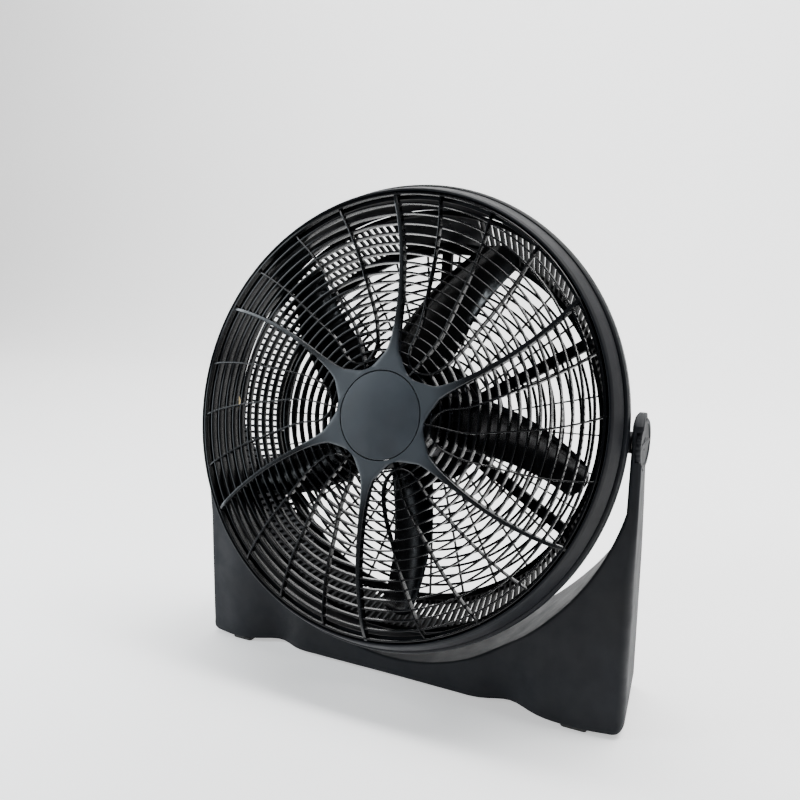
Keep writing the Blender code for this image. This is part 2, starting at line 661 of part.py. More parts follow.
# ---------------------------------------------------------------- fan
def blade_bm():
    """One swept blade with camber and twist, in the head's frame at phi = 0."""
    bm = bmesh.new()
    radial, chord_steps = 5, 4
    thick = 0.0022
    sides = []
    for face in (0.5, -0.5):
        grid = []
        for i in range(radial + 1):
            t = i / radial
            r = lerp(FAN_HUB_R - 0.0010, FAN_TIP_R, t)
            chord = lerp(*BLADE_CHORD, t)
            pitch = math.radians(lerp(*BLADE_PITCH_DEG, t))
            lead = -BLADE_SWEEP * t
            row = []
            for j in range(chord_steps + 1):
                u = j / chord_steps
                along = (u - 0.5) * chord
                camber = 0.010 * (1.0 - (2.0 * u - 1.0) ** 2) * lerp(0.6, 1.0, t)
                tip_round = 0.012 * (2.0 * u - 1.0) ** 2 * t ** 3
                phi = lead + along * math.cos(pitch) / max(r, 0.06)
                s = 0.0115 + along * math.sin(pitch) - camber + face * thick
                row.append(bm.verts.new(head_point(r - tip_round, s, phi)))
            grid.append(row)
        sides.append(grid)
    top, low = sides
    for i in range(radial):
        for j in range(chord_steps):
            bm.faces.new((top[i][j], top[i + 1][j], top[i + 1][j + 1], top[i][j + 1]))
            bm.faces.new((low[i][j], low[i][j + 1], low[i + 1][j + 1], low[i + 1][j]))
    for i in range(radial):
        for j in (0, chord_steps):
            bm.faces.new((top[i][j], top[i + 1][j], low[i + 1][j], low[i][j]))
    for j in range(chord_steps):
        for i in (0, radial):
            bm.faces.new((top[i][j], top[i][j + 1], low[i][j + 1], low[i][j]))
    return bm


def build_fan(head):
    axis = empty("fan_axis", (0.0, 0.0, 0.0), parent=head)
    bore = SHAFT_R + GAP
    skirt = FAN_HUB_R - 0.0024
    hub = [(bore, 0.0330), (0.0120, 0.0330), (0.0300, 0.0320), (0.0400, 0.0280), (FAN_HUB_R, 0.0200),
           (FAN_HUB_R, -0.0100), (skirt, -0.0100), (skirt, 0.0185), (0.0380, 0.0252), (0.0290, 0.0290),
           (0.0120, 0.0298), (0.0120, -0.0060), (bore, -0.0060)]
    fan = turned("fan_blade", hub, 30, GLOSS, None)
    for i in range(FAN_COUNT):
        blade = add_object("tool", blade_bm(), GLOSS)
        turn = math.radians(FAN_FIRST_DEG) + 2.0 * math.pi * i / FAN_COUNT
        blade.data.transform(Matrix.Rotation(-turn, 4, "Y"))
        cut(fan, [blade], "UNION")
    fan.parent = axis
    shaft = [(0.0, 0.0480), (SHAFT_R - 0.0005, 0.0475), (SHAFT_R, 0.0460), (SHAFT_R, -0.0785),
             (0.0, -0.0785)]
    turned("motor_shaft", shaft, 16, STEEL, axis)
    rotor = [(bore, -0.0330), (0.0255, -0.0330), (0.0255, -0.0590), (bore, -0.0590)]
    turned("rotor_core", rotor, MOTOR_STEPS, IRON, axis)
    nut = [(bore, 0.0333), (0.0160, 0.0333), (0.0150, 0.0430), (0.0070, 0.0470), (bore, 0.0470)]
    turned("blade_nut", nut, 12, BLACK, axis)


def build_handle(head):
    """Carry handle: an arch over the slotted shoulder, at the top of the rear grille."""
    half_span = 0.0580
    foot_z = 0.2302
    rise = 0.0262
    half_depth = 0.0090
    half_thick = 0.0045
    steps = 12
    path = []
    for i in range(steps + 1):
        a = math.pi * (1.0 - i / steps)
        x = half_span * math.copysign(abs(math.cos(a)) ** 0.6, math.cos(a))
        path.append(Vector((x, 0.0500, foot_z + rise * max(math.sin(a), 0.0) ** 0.6)))
    loops = []
    for i, centre in enumerate(path):
        ahead = path[min(i + 1, steps)] - path[max(i - 1, 0)]
        normal = Vector((-ahead.z, 0.0, ahead.x)).normalized()
        if i == 0:
            normal = Vector((-1.0, 0.0, 0.0))
        elif i == steps:
            normal = Vector((1.0, 0.0, 0.0))
        loop = []
        for j in range(8):
            a = 2.0 * math.pi * (j + 0.5) / 8
            across = Vector((0.0, half_depth * math.cos(a), 0.0))
            loop.append(centre + normal * half_thick * math.sin(a) + across)
        loops.append(loop)
    add_object("carry_handle", loft(loops), BLACK, head)


head_axis = empty("head_axis", (0.0, PIVOT_Y, PIVOT_Z), (-TILT, 0.0, 0.0))
build_base()
build_pivots()
build_bezel(head_axis)
build_front_grille(head_axis)
build_rear_shroud(head_axis)
build_rear_grille(head_axis)
build_motor(head_axis)
build_motor_cover(head_axis)
build_speed_knob(head_axis)
build_fan(head_axis)
build_handle(head_axis)
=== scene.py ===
"""Looks of the tilting floor fan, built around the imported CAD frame."""

import json
import math

import bmesh
import bpy
from mathutils import Matrix, Vector


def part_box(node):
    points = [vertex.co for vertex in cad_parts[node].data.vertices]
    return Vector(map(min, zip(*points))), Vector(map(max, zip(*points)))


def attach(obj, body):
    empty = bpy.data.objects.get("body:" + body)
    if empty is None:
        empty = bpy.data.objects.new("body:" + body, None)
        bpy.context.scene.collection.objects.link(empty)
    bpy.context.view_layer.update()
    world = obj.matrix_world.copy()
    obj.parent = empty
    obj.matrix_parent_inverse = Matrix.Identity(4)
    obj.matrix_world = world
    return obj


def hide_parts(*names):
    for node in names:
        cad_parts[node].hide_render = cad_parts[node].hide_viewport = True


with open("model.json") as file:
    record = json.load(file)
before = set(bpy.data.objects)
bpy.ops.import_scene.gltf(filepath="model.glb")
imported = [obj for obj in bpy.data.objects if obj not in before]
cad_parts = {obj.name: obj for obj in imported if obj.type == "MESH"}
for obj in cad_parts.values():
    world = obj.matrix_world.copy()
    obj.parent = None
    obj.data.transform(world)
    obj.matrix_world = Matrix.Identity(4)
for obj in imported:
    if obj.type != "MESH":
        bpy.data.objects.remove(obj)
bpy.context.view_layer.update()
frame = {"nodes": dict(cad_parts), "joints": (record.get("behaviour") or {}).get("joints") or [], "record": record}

# ---------------------------------------------------------------- places read from the frame
JOINTS = {joint["name"]: joint for joint in frame["joints"]}
PIVOT = Vector(JOINTS["head_tilt"]["pos_m"])
AXIS = Vector(JOINTS["fan_spin"]["axis"])           # the airflow's direction
TILT = math.atan2(AXIS.z, -AXIS.y)
HEAD = Matrix.Translation(PIVOT) @ Matrix.Rotation(-TILT, 4, "X")
PIVOT_Y, PIVOT_Z = PIVOT.y, PIVOT.z
TAU = 2.0 * math.pi


def lerp(a, b, t):
    return a + (b - a) * t


def smooth(t):
    t = min(max(t, 0.0), 1.0)
    return t * t * (3.0 - 2.0 * t)


def head_point(r, s, phi):
    """Point in the head's own frame: r from the fan's axis, s in front of the tilt axis."""
    return Vector((r * math.cos(phi), -s, r * math.sin(phi)))


def sideways(side):
    """Turn the axis of a turned shape onto +X (side 1) or -X (side -1)."""
    return Matrix.Rotation(side * math.pi / 2.0, 4, "Z")


# ---------------------------------------------------------------- materials
class Nodes:
    """Short way to write a node tree."""

    def __init__(self, name):
        self.mat = bpy.data.materials.new(name)
        self.mat.use_nodes = True
        self.tree = self.mat.node_tree
        self.shader = self.tree.nodes["Principled BSDF"]
        coords = self.tree.nodes.new("ShaderNodeTexCoord")
        self.where = coords.outputs["Object"]

    def add(self, kind, **values):
        node = self.tree.nodes.new(kind)
        for key, value in values.items():
            setattr(node, key, value)
        return node

    def link(self, a, b):
        self.tree.links.new(a, b)

    def noise(self, scale, detail=3.0, roughness=0.55, where=None):
        node = self.add("ShaderNodeTexNoise")
        node.inputs["Scale"].default_value = scale
        node.inputs["Detail"].default_value = detail
        node.inputs["Roughness"].default_value = roughness
        self.link(where or self.where, node.inputs["Vector"])
        return node.outputs["Fac"]

    def ramp(self, fac, low, high, start=0.3, end=0.7):
        """Map a 0..1 value onto a range of values."""
        node = self.add("ShaderNodeMapRange")
        node.inputs["From Min"].default_value = start
        node.inputs["From Max"].default_value = end
        node.inputs["To Min"].default_value = low
        node.inputs["To Max"].default_value = high
        self.link(fac, node.inputs["Value"])
        return node.outputs["Result"]

    def mix(self, fac, low, high):
        """Mix two colours by a 0..1 value."""
        node = self.add("ShaderNodeMix", data_type="RGBA")
        node.inputs["A"].default_value = (*low, 1.0)
        node.inputs["B"].default_value = (*high, 1.0)
        self.link(fac, node.inputs["Factor"])
        return node.outputs["Result"]

    def bump(self, height, strength, distance, normal=None):
        node = self.add("ShaderNodeBump")
        node.inputs["Strength"].default_value = strength
        node.inputs["Distance"].default_value = distance
        self.link(height, node.inputs["Height"])
        if normal is not None:
            self.link(normal, node.inputs["Normal"])
        return node.outputs["Normal"]


def plastic(name, colour, roughness, grain, spread=0.35, coat=0.0, specular=0.5):
    """Moulded plastic: fine spark-eroded grain, slow colour drift, handled patches."""
    n = Nodes(name)
    drift = n.ramp(n.noise(9.0, 4.0), 0.0, 1.0)
    low = tuple(c * (1.0 - spread) for c in colour)
    high = tuple(c * (1.0 + spread) for c in colour)
    n.link(n.mix(drift, low, high), n.shader.inputs["Base Color"])
    rub = n.noise(38.0, 5.0, 0.65)
    n.link(n.ramp(rub, roughness * 0.86, roughness * 1.16), n.shader.inputs["Roughness"])
    fine = n.noise(2600.0, 2.0, 0.6)
    waves = n.noise(24.0, 2.0, 0.5)
    first = n.bump(waves, 0.10, 0.0010)
    n.link(n.bump(fine, grain, 0.00012, first), n.shader.inputs["Normal"])
    n.shader.inputs["IOR"].default_value = 1.49
    n.shader.inputs["Specular IOR Level"].default_value = specular
    n.shader.inputs["Coat Weight"].default_value = coat
    n.shader.inputs["Coat Roughness"].default_value = 0.12
    return n.mat


def star_look(name):
    """Hub plate's satin with a painted reflection: lighter blue-grey at the hub, fading to the ribs' black away
    from it, and glossier along the ribs.
    """
    n = Nodes(name)
    away = n.add("ShaderNodeVectorMath", operation="DISTANCE")
    n.link(n.where, away.inputs[0])
    away.inputs[1].default_value = HEAD @ head_point(0.0, 0.0604, 0.0)
    far = n.ramp(away.outputs["Value"], 0.0, 1.0, 0.066, 0.110)
    drift = n.ramp(n.noise(9.0, 4.0), 0.0, 1.0)
    # painted reflection: the plate's lighter blue-grey stands in for the key light reflecting off the same black
    # plastic
    plate = n.mix(drift, (0.016, 0.021, 0.027), (0.023, 0.029, 0.036))
    blend = n.mix(far, (0.0, 0.0, 0.0), (0.0026, 0.0032, 0.0042))
    n.link(plate, blend.node.inputs["A"])
    n.link(blend, n.shader.inputs["Base Color"])
    n.link(n.ramp(far, 0.40, 0.22, 0.0, 1.0), n.shader.inputs["Roughness"])
    n.link(n.bump(n.noise(2600.0, 2.0, 0.6), 0.15, 0.00012), n.shader.inputs["Normal"])
    return n.mat


def metal(name, colour, roughness, brushed=0.25):
    """Plated or cast metal with fine scratches."""
    n = Nodes(name)
    stretch = n.add("ShaderNodeMapping")
    stretch.inputs["Scale"].default_value = (1.0, 14.0, 1.0)
    n.link(n.where, stretch.inputs["Vector"])
    lines = n.noise(420.0, 4.0, 0.6, stretch.outputs["Vector"])
    drift = n.ramp(n.noise(30.0), 0.0, 1.0)
    n.link(n.mix(drift, tuple(c * 0.82 for c in colour), colour), n.shader.inputs["Base Color"])
    n.link(n.ramp(lines, roughness * 0.8, roughness * 1.25), n.shader.inputs["Roughness"])
    n.link(n.bump(lines, brushed, 0.0001), n.shader.inputs["Normal"])
    n.shader.inputs["Metallic"].default_value = 1.0
    return n.mat


def rubber(name):
    """Moulded rubber, dusty and almost without gloss."""
    n = Nodes(name)
    dust = n.ramp(n.noise(160.0, 5.0, 0.7), 0.0, 1.0, 0.35, 0.75)
    n.link(n.mix(dust, (0.010, 0.010, 0.010), (0.030, 0.029, 0.028)), n.shader.inputs["Base Color"])
    n.link(n.ramp(dust, 0.72, 0.95, 0.0, 1.0), n.shader.inputs["Roughness"])
    n.link(n.bump(n.noise(1400.0), 0.35, 0.0002), n.shader.inputs["Normal"])
    return n.mat


def winding(name):
    """Enamelled copper wire, wound in rings."""
    n = Nodes(name)
    wave = n.add("ShaderNodeTexWave", wave_type="RINGS")
    wave.inputs["Scale"].default_value = 320.0
    wave.inputs["Distortion"].default_value = 1.5
    n.link(n.where, wave.inputs["Vector"])
    n.link(n.mix(wave.outputs["Fac"], (0.30, 0.09, 0.03), (0.75, 0.33, 0.13)), n.shader.inputs["Base Color"])
    n.link(n.ramp(wave.outputs["Fac"], 0.42, 0.24, 0.0, 1.0), n.shader.inputs["Roughness"])
    n.link(n.bump(wave.outputs["Fac"], 0.6, 0.0004), n.shader.inputs["Normal"])
    n.shader.inputs["Metallic"].default_value = 1.0
    return n.mat


def laminated(name):
    """Stack of steel sheets, seen edge on."""
    n = Nodes(name)
    wave = n.add("ShaderNodeTexWave", bands_direction="Y")
    wave.inputs["Scale"].default_value = 420.0
    n.link(n.where, wave.inputs["Vector"])
    n.link(n.mix(wave.outputs["Fac"], (0.10, 0.10, 0.11), (0.34, 0.34, 0.36)), n.shader.inputs["Base Color"])
    n.link(n.ramp(n.noise(200.0), 0.40, 0.62), n.shader.inputs["Roughness"])
    n.link(n.bump(wave.outputs["Fac"], 0.5, 0.0003), n.shader.inputs["Normal"])
    n.shader.inputs["Metallic"].default_value = 1.0
    return n.mat


LOOKS = {
    "black_plastic": plastic("satin_black", (0.0035, 0.0042, 0.0060), 0.30, 0.22, specular=0.15),
    "bezel_plastic": plastic("bezel_satin", (0.0035, 0.0042, 0.0060), 0.44, 0.20, specular=0.12),
    "base_plastic": plastic("base_satin", (0.0050, 0.0062, 0.0086), 0.60, 0.25, specular=0.20),
    # painted shade: a darker copy of the black plastic, for the rear grille that sits in shade inside the head
    "dark_plastic": plastic("inner_black_painted_shade", (0.0018, 0.0020, 0.0026), 0.42, 0.15, specular=0.05),
    "grille_plastic": plastic("grille_black", (0.0018, 0.0021, 0.0028), 0.17, 0.06, specular=0.26),
    # hub plate and main ribs, with a painted reflection near the hub
    "star_plastic": star_look("star_satin_painted_sheen"),
    # painted reflection: the badge's lighter blue-grey stands in for the key light reflecting off black plastic
    "badge_plastic": plastic("badge_painted_sheen", (0.0215, 0.0270, 0.0340), 0.40, 0.30, specular=0.40),
    "blade_plastic": plastic("blade_gloss", (0.0012, 0.0018, 0.0028), 0.20, 0.04, coat=0.15, specular=0.30),
    "rubber": rubber("pad_rubber"),
    "steel": metal("zinc_steel", (0.62, 0.63, 0.65), 0.30),
    "aluminium": plastic("painted_casting", (0.0050, 0.0052, 0.0060), 0.48, 0.60, specular=0.20),
    "iron": laminated("laminations"),
    "copper": winding("copper_wire"),
    "brass": metal("brass", (0.70, 0.52, 0.24), 0.30),
    "nylon": plastic("natural_nylon", (0.58, 0.57, 0.52), 0.48, 0.10, spread=0.05),
    "case_grey": plastic("case_grey", (0.16, 0.17, 0.18), 0.45, 0.15, spread=0.12),
    "knob_plastic": plastic("knob_satin", (0.0060, 0.0070, 0.0090), 0.58, 0.20, specular=0.20),
    "dial_print": plastic("dial_print", (0.62, 0.62, 0.60), 0.55, 0.05, spread=0.04),
}
SLOT_OF = {part["node"]: part["material_slot"] for part in frame["record"]["subparts"]}

# ---------------------------------------------------------------- mesh helpers
class Skin:
    """Points and faces gathered for one piece before they become an object."""

    def __init__(self):
        self.points = []
        self.faces = []

    def row(self, points):
        first = len(self.points)
        self.points.extend(points)
        return list(range(first, len(self.points)))

    def bridge(self, a, b):
        for j in range(len(a)):
            k = (j + 1) % len(a)
            self.faces.append((a[j], a[k], b[k], b[j]))

    def tube(self, loops, closed=False):
        """Skin a row of equal closed loops, which closes on itself or is capped."""
        rows = [self.row(loop) for loop in loops]
        for a, b in zip(rows, rows[1:]):
            self.bridge(a, b)
        if closed:
            self.bridge(rows[-1], rows[0])
        else:
            self.faces += [tuple(rows[0]), tuple(rows[-1])]

    def turned(self, profile, steps, at=(0.0, 0.0), ripple=None):
        """Spin a closed (r, s) profile about the axis at local (x, z) = at.

        ripple(r, s, phi), if given, is added to the radius.
        """
        shift = Vector((at[0], 0.0, at[1]))
        loops = []
        for i in range(steps):
            phi = TAU * i / steps
            grow = ripple or (lambda r, s, angle: 0.0)
            loops.append([head_point(r + grow(r, s, phi), s, phi) + shift for r, s in profile])
        self.tube(loops, closed=True)


def piece(name, skin, look, body, nodes=(), place=HEAD, sharp_deg=32.0):
    """Turn a skin into a visual piece that rides on a body and stands for CAD nodes."""
    mesh = bpy.data.meshes.new(name)
    mesh.from_pydata([tuple(p) for p in skin.points], [], skin.faces)
    bm = bmesh.new()
    bm.from_mesh(mesh)
    bmesh.ops.remove_doubles(bm, verts=bm.verts, dist=2e-6)
    bmesh.ops.recalc_face_normals(bm, faces=bm.faces)
    bmesh.ops.transform(bm, matrix=place, verts=bm.verts)
    bm.to_mesh(mesh)
    bm.free()
    mesh.shade_smooth()
    mesh.set_sharp_from_angle(angle=math.radians(sharp_deg))
    obj = bpy.data.objects.new(name, mesh)
    bpy.context.collection.objects.link(obj)
    mesh.materials.append(LOOKS[look])
    settle(obj, body, nodes)
    return obj


def settle(obj, body, nodes):
    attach(obj, body)
    if nodes:
        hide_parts(*nodes)


def rounded(outline, steps=4):
    """Closed outline whose corners with a third value are rounded to that radius."""
    result = []
    for i, corner in enumerate(outline):
        here = Vector(corner[:2])
        if len(corner) < 3:
            result.append(tuple(here))
            continue
        before = Vector(outline[i - 1][:2]) - here
        after = Vector(outline[(i + 1) % len(outline)][:2]) - here
        reach = corner[2] / math.tan(before.angle(after) / 2.0)
        reach = min(reach, 0.48 * before.length, 0.48 * after.length)
        a = here + before.normalized() * reach
        b = here + after.normalized() * reach
        for k in range(steps + 1):
            t = k / steps
            result.append(tuple(a * (1.0 - t) ** 2 + here * 2.0 * t * (1.0 - t) + b * t ** 2))
    return result


def bar_outline(half, depth, soft, draft=0.85):
    """Cross-section of a moulded bar as (across, behind) points, soft at the front."""
    soft = min(soft, 0.8 * half)
    back = half * draft
    return rounded([(-half, 0.0, soft), (half, 0.0, soft), (back, depth, 0.3 * soft),
                    (-back, depth, 0.3 * soft)], 3)


def hoop(skin, r, s, half, depth, soft, steps, outward=1.0):
    """Ring bar whose front is at s; outward -1 turns the front to the rear."""
    outline = bar_outline(half, depth, soft)
    skin.turned([(r + u, s - outward * v) for u, v in outline], steps)


def rib(skin, centre, half, depth, soft, count, behind):
    """Bar along centre(t); half, depth and behind are functions of t from 0 to 1."""
    places = [centre(i / count) for i in range(count + 1)]
    loops = []
    for i, place in enumerate(places):
        t = i / count
        back = behind(t).normalized()
        along = places[min(i + 1, count)] - places[max(i - 1, 0)]
        across = along.cross(back).normalized()
        outline = bar_outline(half(t), depth(t), soft)
        loops.append([place + across * u + back * v for u, v in outline])
    skin.tube(loops)


def fixed(value):
    return lambda t: value


def cut(obj, cutter, operation="DIFFERENCE"):
    """Boolean a temporary object into a piece."""
    mod = obj.modifiers.new("cut", "BOOLEAN")
    mod.operation = operation
    mod.solver = "EXACT"
    mod.object = cutter
    bpy.context.view_layer.update()
    mesh = bpy.data.meshes.new_from_object(obj.evaluated_get(bpy.context.evaluated_depsgraph_get()))
    obj.modifiers.clear()
    obj.data = mesh
    bpy.data.objects.remove(cutter, do_unlink=True)
    mesh.shade_smooth()
    mesh.set_sharp_from_angle(angle=math.radians(32.0))


def tool(skin, place):
    """Temporary object for a cut."""
    mesh = bpy.data.meshes.new("tool")
    mesh.from_pydata([tuple(place @ p) for p in skin.points], [], skin.faces)
    bm = bmesh.new()
    bm.from_mesh(mesh)
    bmesh.ops.remove_doubles(bm, verts=bm.verts, dist=2e-6)
    bmesh.ops.recalc_face_normals(bm, faces=bm.faces)
    bm.to_mesh(mesh)
    bm.free()
    obj = bpy.data.objects.new("tool", mesh)
    bpy.context.collection.objects.link(obj)
    return obj


def rod(radius, s0, s1, steps=48, at=(0.0, 0.0)):
    """Skin of a plain cylinder along s, for cuts."""
    skin = Skin()
    skin.turned([(0.0, s0), (radius, s0), (radius, s1), (0.0, s1)], steps, at)
    return skin


# ---------------------------------------------------------------- front grille
GRILLE_R = 0.2480           # outer ring
GRILLE_S = 0.0592           # front of the rings
RING_PITCH = 0.01088
RING_COUNT = 18
RIB_SWEEP = math.radians(9.5)
MAIN_RIB_TIP = math.radians(92.92)
THIN_RIB_TIP = math.radians(94.95)
SECTOR = TAU / 6.0          # between two main ribs
PLATE_S = 0.0604            # front of the hub plate and of the ribs
PLATE_R = 0.0552            # hub plate, midway between two arms
BADGE_R = 0.0500
JOIN_R = 0.0638             # where the thin ribs meet before they reach the hub
RIB_DEPTH = 0.0092
BACKWARD = Vector((0.0, 1.0, 0.0))
FINE = 288                  # steps round the large rings


def swirl(r):
    """How far a rib at radius r trails its tip."""
    return -RIB_SWEEP * (1.0 - (r / GRILLE_R) ** 2)


def thin_swirl(r):
    """The thin ribs straighten towards the hub, a little ahead of the main ones."""
    return swirl(r) - math.radians(2.4) * math.exp(-((r - 0.100) / 0.033) ** 2)


def rib_front(r):
    """Front edge of the ribs, which dips behind the bezel's crest at the rim."""
    return PLATE_S - 0.0030 * smooth((r - 0.2400) / 0.0110)


def arm_half(r):
    """Half width of a main rib, which widens into the star-shaped hub plate."""
    web = math.sqrt(max(r - PLATE_R, 0.0) / 0.1036)
    star = r * math.sin(max(SECTOR / 2.0 - web, 0.0))
    x = r / GRILLE_R
    taper = 0.0020 + 0.0018 * (1.0 - x) + 0.0036 * math.exp(-(r - 0.077) / 0.0140)
    return lerp(star, taper, smooth((r - 0.066) / 0.012))


def build_hub_star(skin):
    """Hub plate and six main ribs, one sector at a time on shared border points."""
    radii = [0.0510, 0.0531, PLATE_R]
    radii += [PLATE_R + 0.0002 * 1.35 ** k for k in range(15)]
    radii += [lerp(radii[-1], 0.2505, (k / 36.0) ** 1.4) for k in range(1, 37)]
    across = [-1.0, -0.985, -0.93, -0.82, -0.6, -0.3, 0.0, 0.3, 0.6, 0.82, 0.93, 0.985, 1.0]
    for number in range(6):
        middle = MAIN_RIB_TIP + number * SECTOR
        front, back = [], []
        for r in radii:
            half = SECTOR / 2.0 if r <= PLATE_R else math.asin(min(arm_half(r) / r, 0.5))
            soft = 0.0 if r <= PLATE_R else min(0.0008, 4.0 * (r - PLATE_R))
            depth = lerp(0.0050, RIB_DEPTH, smooth((r - 0.060) / 0.030))
            row_front, row_back = [], []
            for u in across:
                phi = middle + swirl(r) + half * u
                edge = max(abs(u) - 0.6, 0.0) / 0.4
                row_front.append(head_point(r, rib_front(r) - soft * edge ** 4, phi))
                row_back.append(head_point(r, PLATE_S - depth, middle + swirl(r) + half * u * 0.96))
            if r <= PLATE_R:
                row_back = [head_point(r, PLATE_S - depth, middle + swirl(r) + half * u) for u in across]
            front.append(skin.row(row_front))
            back.append(skin.row(row_back))
        for i in range(len(radii) - 1):
            for j in range(len(across) - 1):
                skin.faces.append((front[i][j], front[i][j + 1], front[i + 1][j + 1], front[i + 1][j]))
                skin.faces.append((back[i][j], back[i + 1][j], back[i + 1][j + 1], back[i][j + 1]))
            if radii[i + 1] > PLATE_R:
                for j in (0, -1):
                    skin.faces.append((front[i][j], front[i + 1][j], back[i + 1][j], back[i][j]))
        for j in range(len(across) - 1):
            for i in (0, -1):
                skin.faces.append((front[i][j], front[i][j + 1], back[i][j + 1], back[i][j]))


def build_thin_ribs(skin):
    """Three thin ribs a sector: the outer two bend in to meet the middle one at the hub."""
    bend_r = 0.0850
    for sector in range(6):
        middle = THIN_RIB_TIP + sector * SECTOR + SECTOR / 2.0
        for side in (-1.0, 0.0, 1.0):
            inner_r = PLATE_R - 0.0004 if side == 0.0 else bend_r

            def centre(t, side=side, inner_r=inner_r, middle=middle):
                if side != 0.0 and t < 0.25:
                    turn = t / 0.25 * math.pi / 2.0
                    r = bend_r - (bend_r - JOIN_R) * math.cos(turn)
                    offset = SECTOR / 4.0 * math.sin(turn)
                else:
                    start = 0.25 if side != 0.0 else 0.0
                    r = lerp(inner_r, 0.2500, (t - start) / (1.0 - start))
                    offset = SECTOR / 4.0 * abs(side)
                return head_point(r, rib_front(r) - 0.0002, middle + thin_swirl(r) + offset * side)

            rib(skin, centre, fixed(0.00085), fixed(RIB_DEPTH - 0.0010), 0.0007, 48, fixed(BACKWARD))


def build_front_grille():
    skin = Skin()
    for k in range(RING_COUNT):
        hoop(skin, GRILLE_R - k * RING_PITCH, GRILLE_S, 0.0010, 0.0082, 0.0009, FINE)
    build_thin_ribs(skin)
    rim = [(0.2502, 0.0500), (0.2502, 0.0542, 0.0006), (0.2484, 0.0570, 0.0006), (0.2470, 0.0570, 0.0006),
           (0.2470, 0.0500)]
    skin.turned(rounded(rim, 3), FINE)
    cup = [(0.0500, 0.0460), (0.0500, 0.0548), (0.0603, 0.0530, 0.0010), (0.0608, 0.0460)]
    skin.turned(rounded(cup, 3), 144)
    piece("grille_front_fine", skin, "grille_plastic", "head", ["front_grille"])
    star = Skin()
    build_hub_star(star)
    piece("grille_star_fine", star, "star_plastic", "head")


def build_badge():
    skin = Skin()
    outline = [(0.0, 0.0608), (BADGE_R - 0.0004, 0.0604, 0.0005), (BADGE_R, 0.0560), (0.0115, 0.0555),
               (0.0115, 0.0520), (0.0, 0.0520)]
    skin.turned(rounded(outline, 5), 144)
    piece("hub_badge_fine", skin, "badge_plastic", "head", ["hub_badge"])


# ---------------------------------------------------------------- head casings
SEAM_R = 0.2618             # where the bezel meets the shroud
SEAM_S = 0.0372


def build_bezel():
    """A ledge for the grille, a low crest, then a crowned cone out to the seam."""
    outline = [(0.2440, 0.0494, 0.0005), (0.2508, 0.0494, 0.0006), (0.2511, 0.0570, 0.0008),
               (0.2519, 0.0584, 0.0010), (0.2535, 0.0580, 0.0014), (0.2556, 0.0544, 0.0060),
               (0.2590, 0.0456, 0.0160), (SEAM_R, SEAM_S + 0.0006, 0.0006), (SEAM_R - 0.0004, SEAM_S),
               (SEAM_R - 0.0024, SEAM_S), (0.2568, 0.0448, 0.0060), (0.2547, 0.0522, 0.0010),
               (0.2540, 0.0534, 0.0006), (0.2533, 0.0530, 0.0004), (0.2531, 0.0470), (0.2440, 0.0470)]
    skin = Skin()
    skin.turned(rounded(outline, 6), FINE)
    piece("bezel_fine", skin, "bezel_plastic", "head", ["front_bezel"])


def build_shroud():
    """A tongue inside the bezel, the head's widest rim, a wall and the pivot bosses."""
    outline = [(0.2571, 0.0430), (0.2591, 0.0367), (0.2630, 0.0366, 0.0008), (0.2648, 0.0352, 0.0020),
               (0.2662, 0.0310, 0.0030), (0.2662, 0.0240, 0.0022), (0.2650, 0.0217, 0.0010),
               (0.2626, 0.0206, 0.0008), (0.2604, 0.0060, 0.0300), (0.2532, -0.0112, 0.0010),
               (0.2524, -0.0120, 0.0005), (0.2503, -0.0120), (0.2578, 0.0060, 0.0300),
               (0.2596, 0.0200, 0.0010), (0.2634, 0.0245, 0.0010), (0.2634, 0.0305, 0.0010),
               (0.2612, 0.0343, 0.0010), (0.2566, 0.0372, 0.0004), (0.2547, 0.0430)]
    skin = Skin()
    skin.turned(rounded(outline, 5), FINE)
    shroud = piece("shroud_fine", skin, "bezel_plastic", "head", ["rear_shroud"])
    boss = [(0.0048, 0.2460), (0.0114, 0.2460), (0.0114, 0.2560), (0.0114, 0.2640), (0.0110, 0.2653, 0.0006),
            (0.0048, 0.2655)]
    for side in (-1.0, 1.0):
        skin = Skin()
        skin.turned(rounded(boss, 4), 48)
        cut(shroud, tool(skin, HEAD @ sideways(side)), "UNION")
        cut(shroud, tool(rod(0.0082, 0.2400, 0.2530, 6), HEAD @ sideways(side)))
        cut(shroud, tool(rod(0.0047, 0.2400, 0.2700, 32), HEAD @ sideways(side)))


# ---------------------------------------------------------------- rear grille
SLATS = 180
SPOKES = 6
REAR_RIBS = 30
REAR_PITCH = 0.0107
PLATE_HALF = math.radians(13.6)     # half angle of the solid plate under the carry handle
PLATE_THICK = 0.0026
SHOULDER = ((0.2490, -0.0165), (0.2246, -0.0665))
FORWARD = Vector((0.0, -1.0, 0.0))


def face_s(r):
    """Rear face of the basket, slightly domed."""
    return -0.0832 + 0.0080 * ((r - 0.076) / 0.137) ** 2


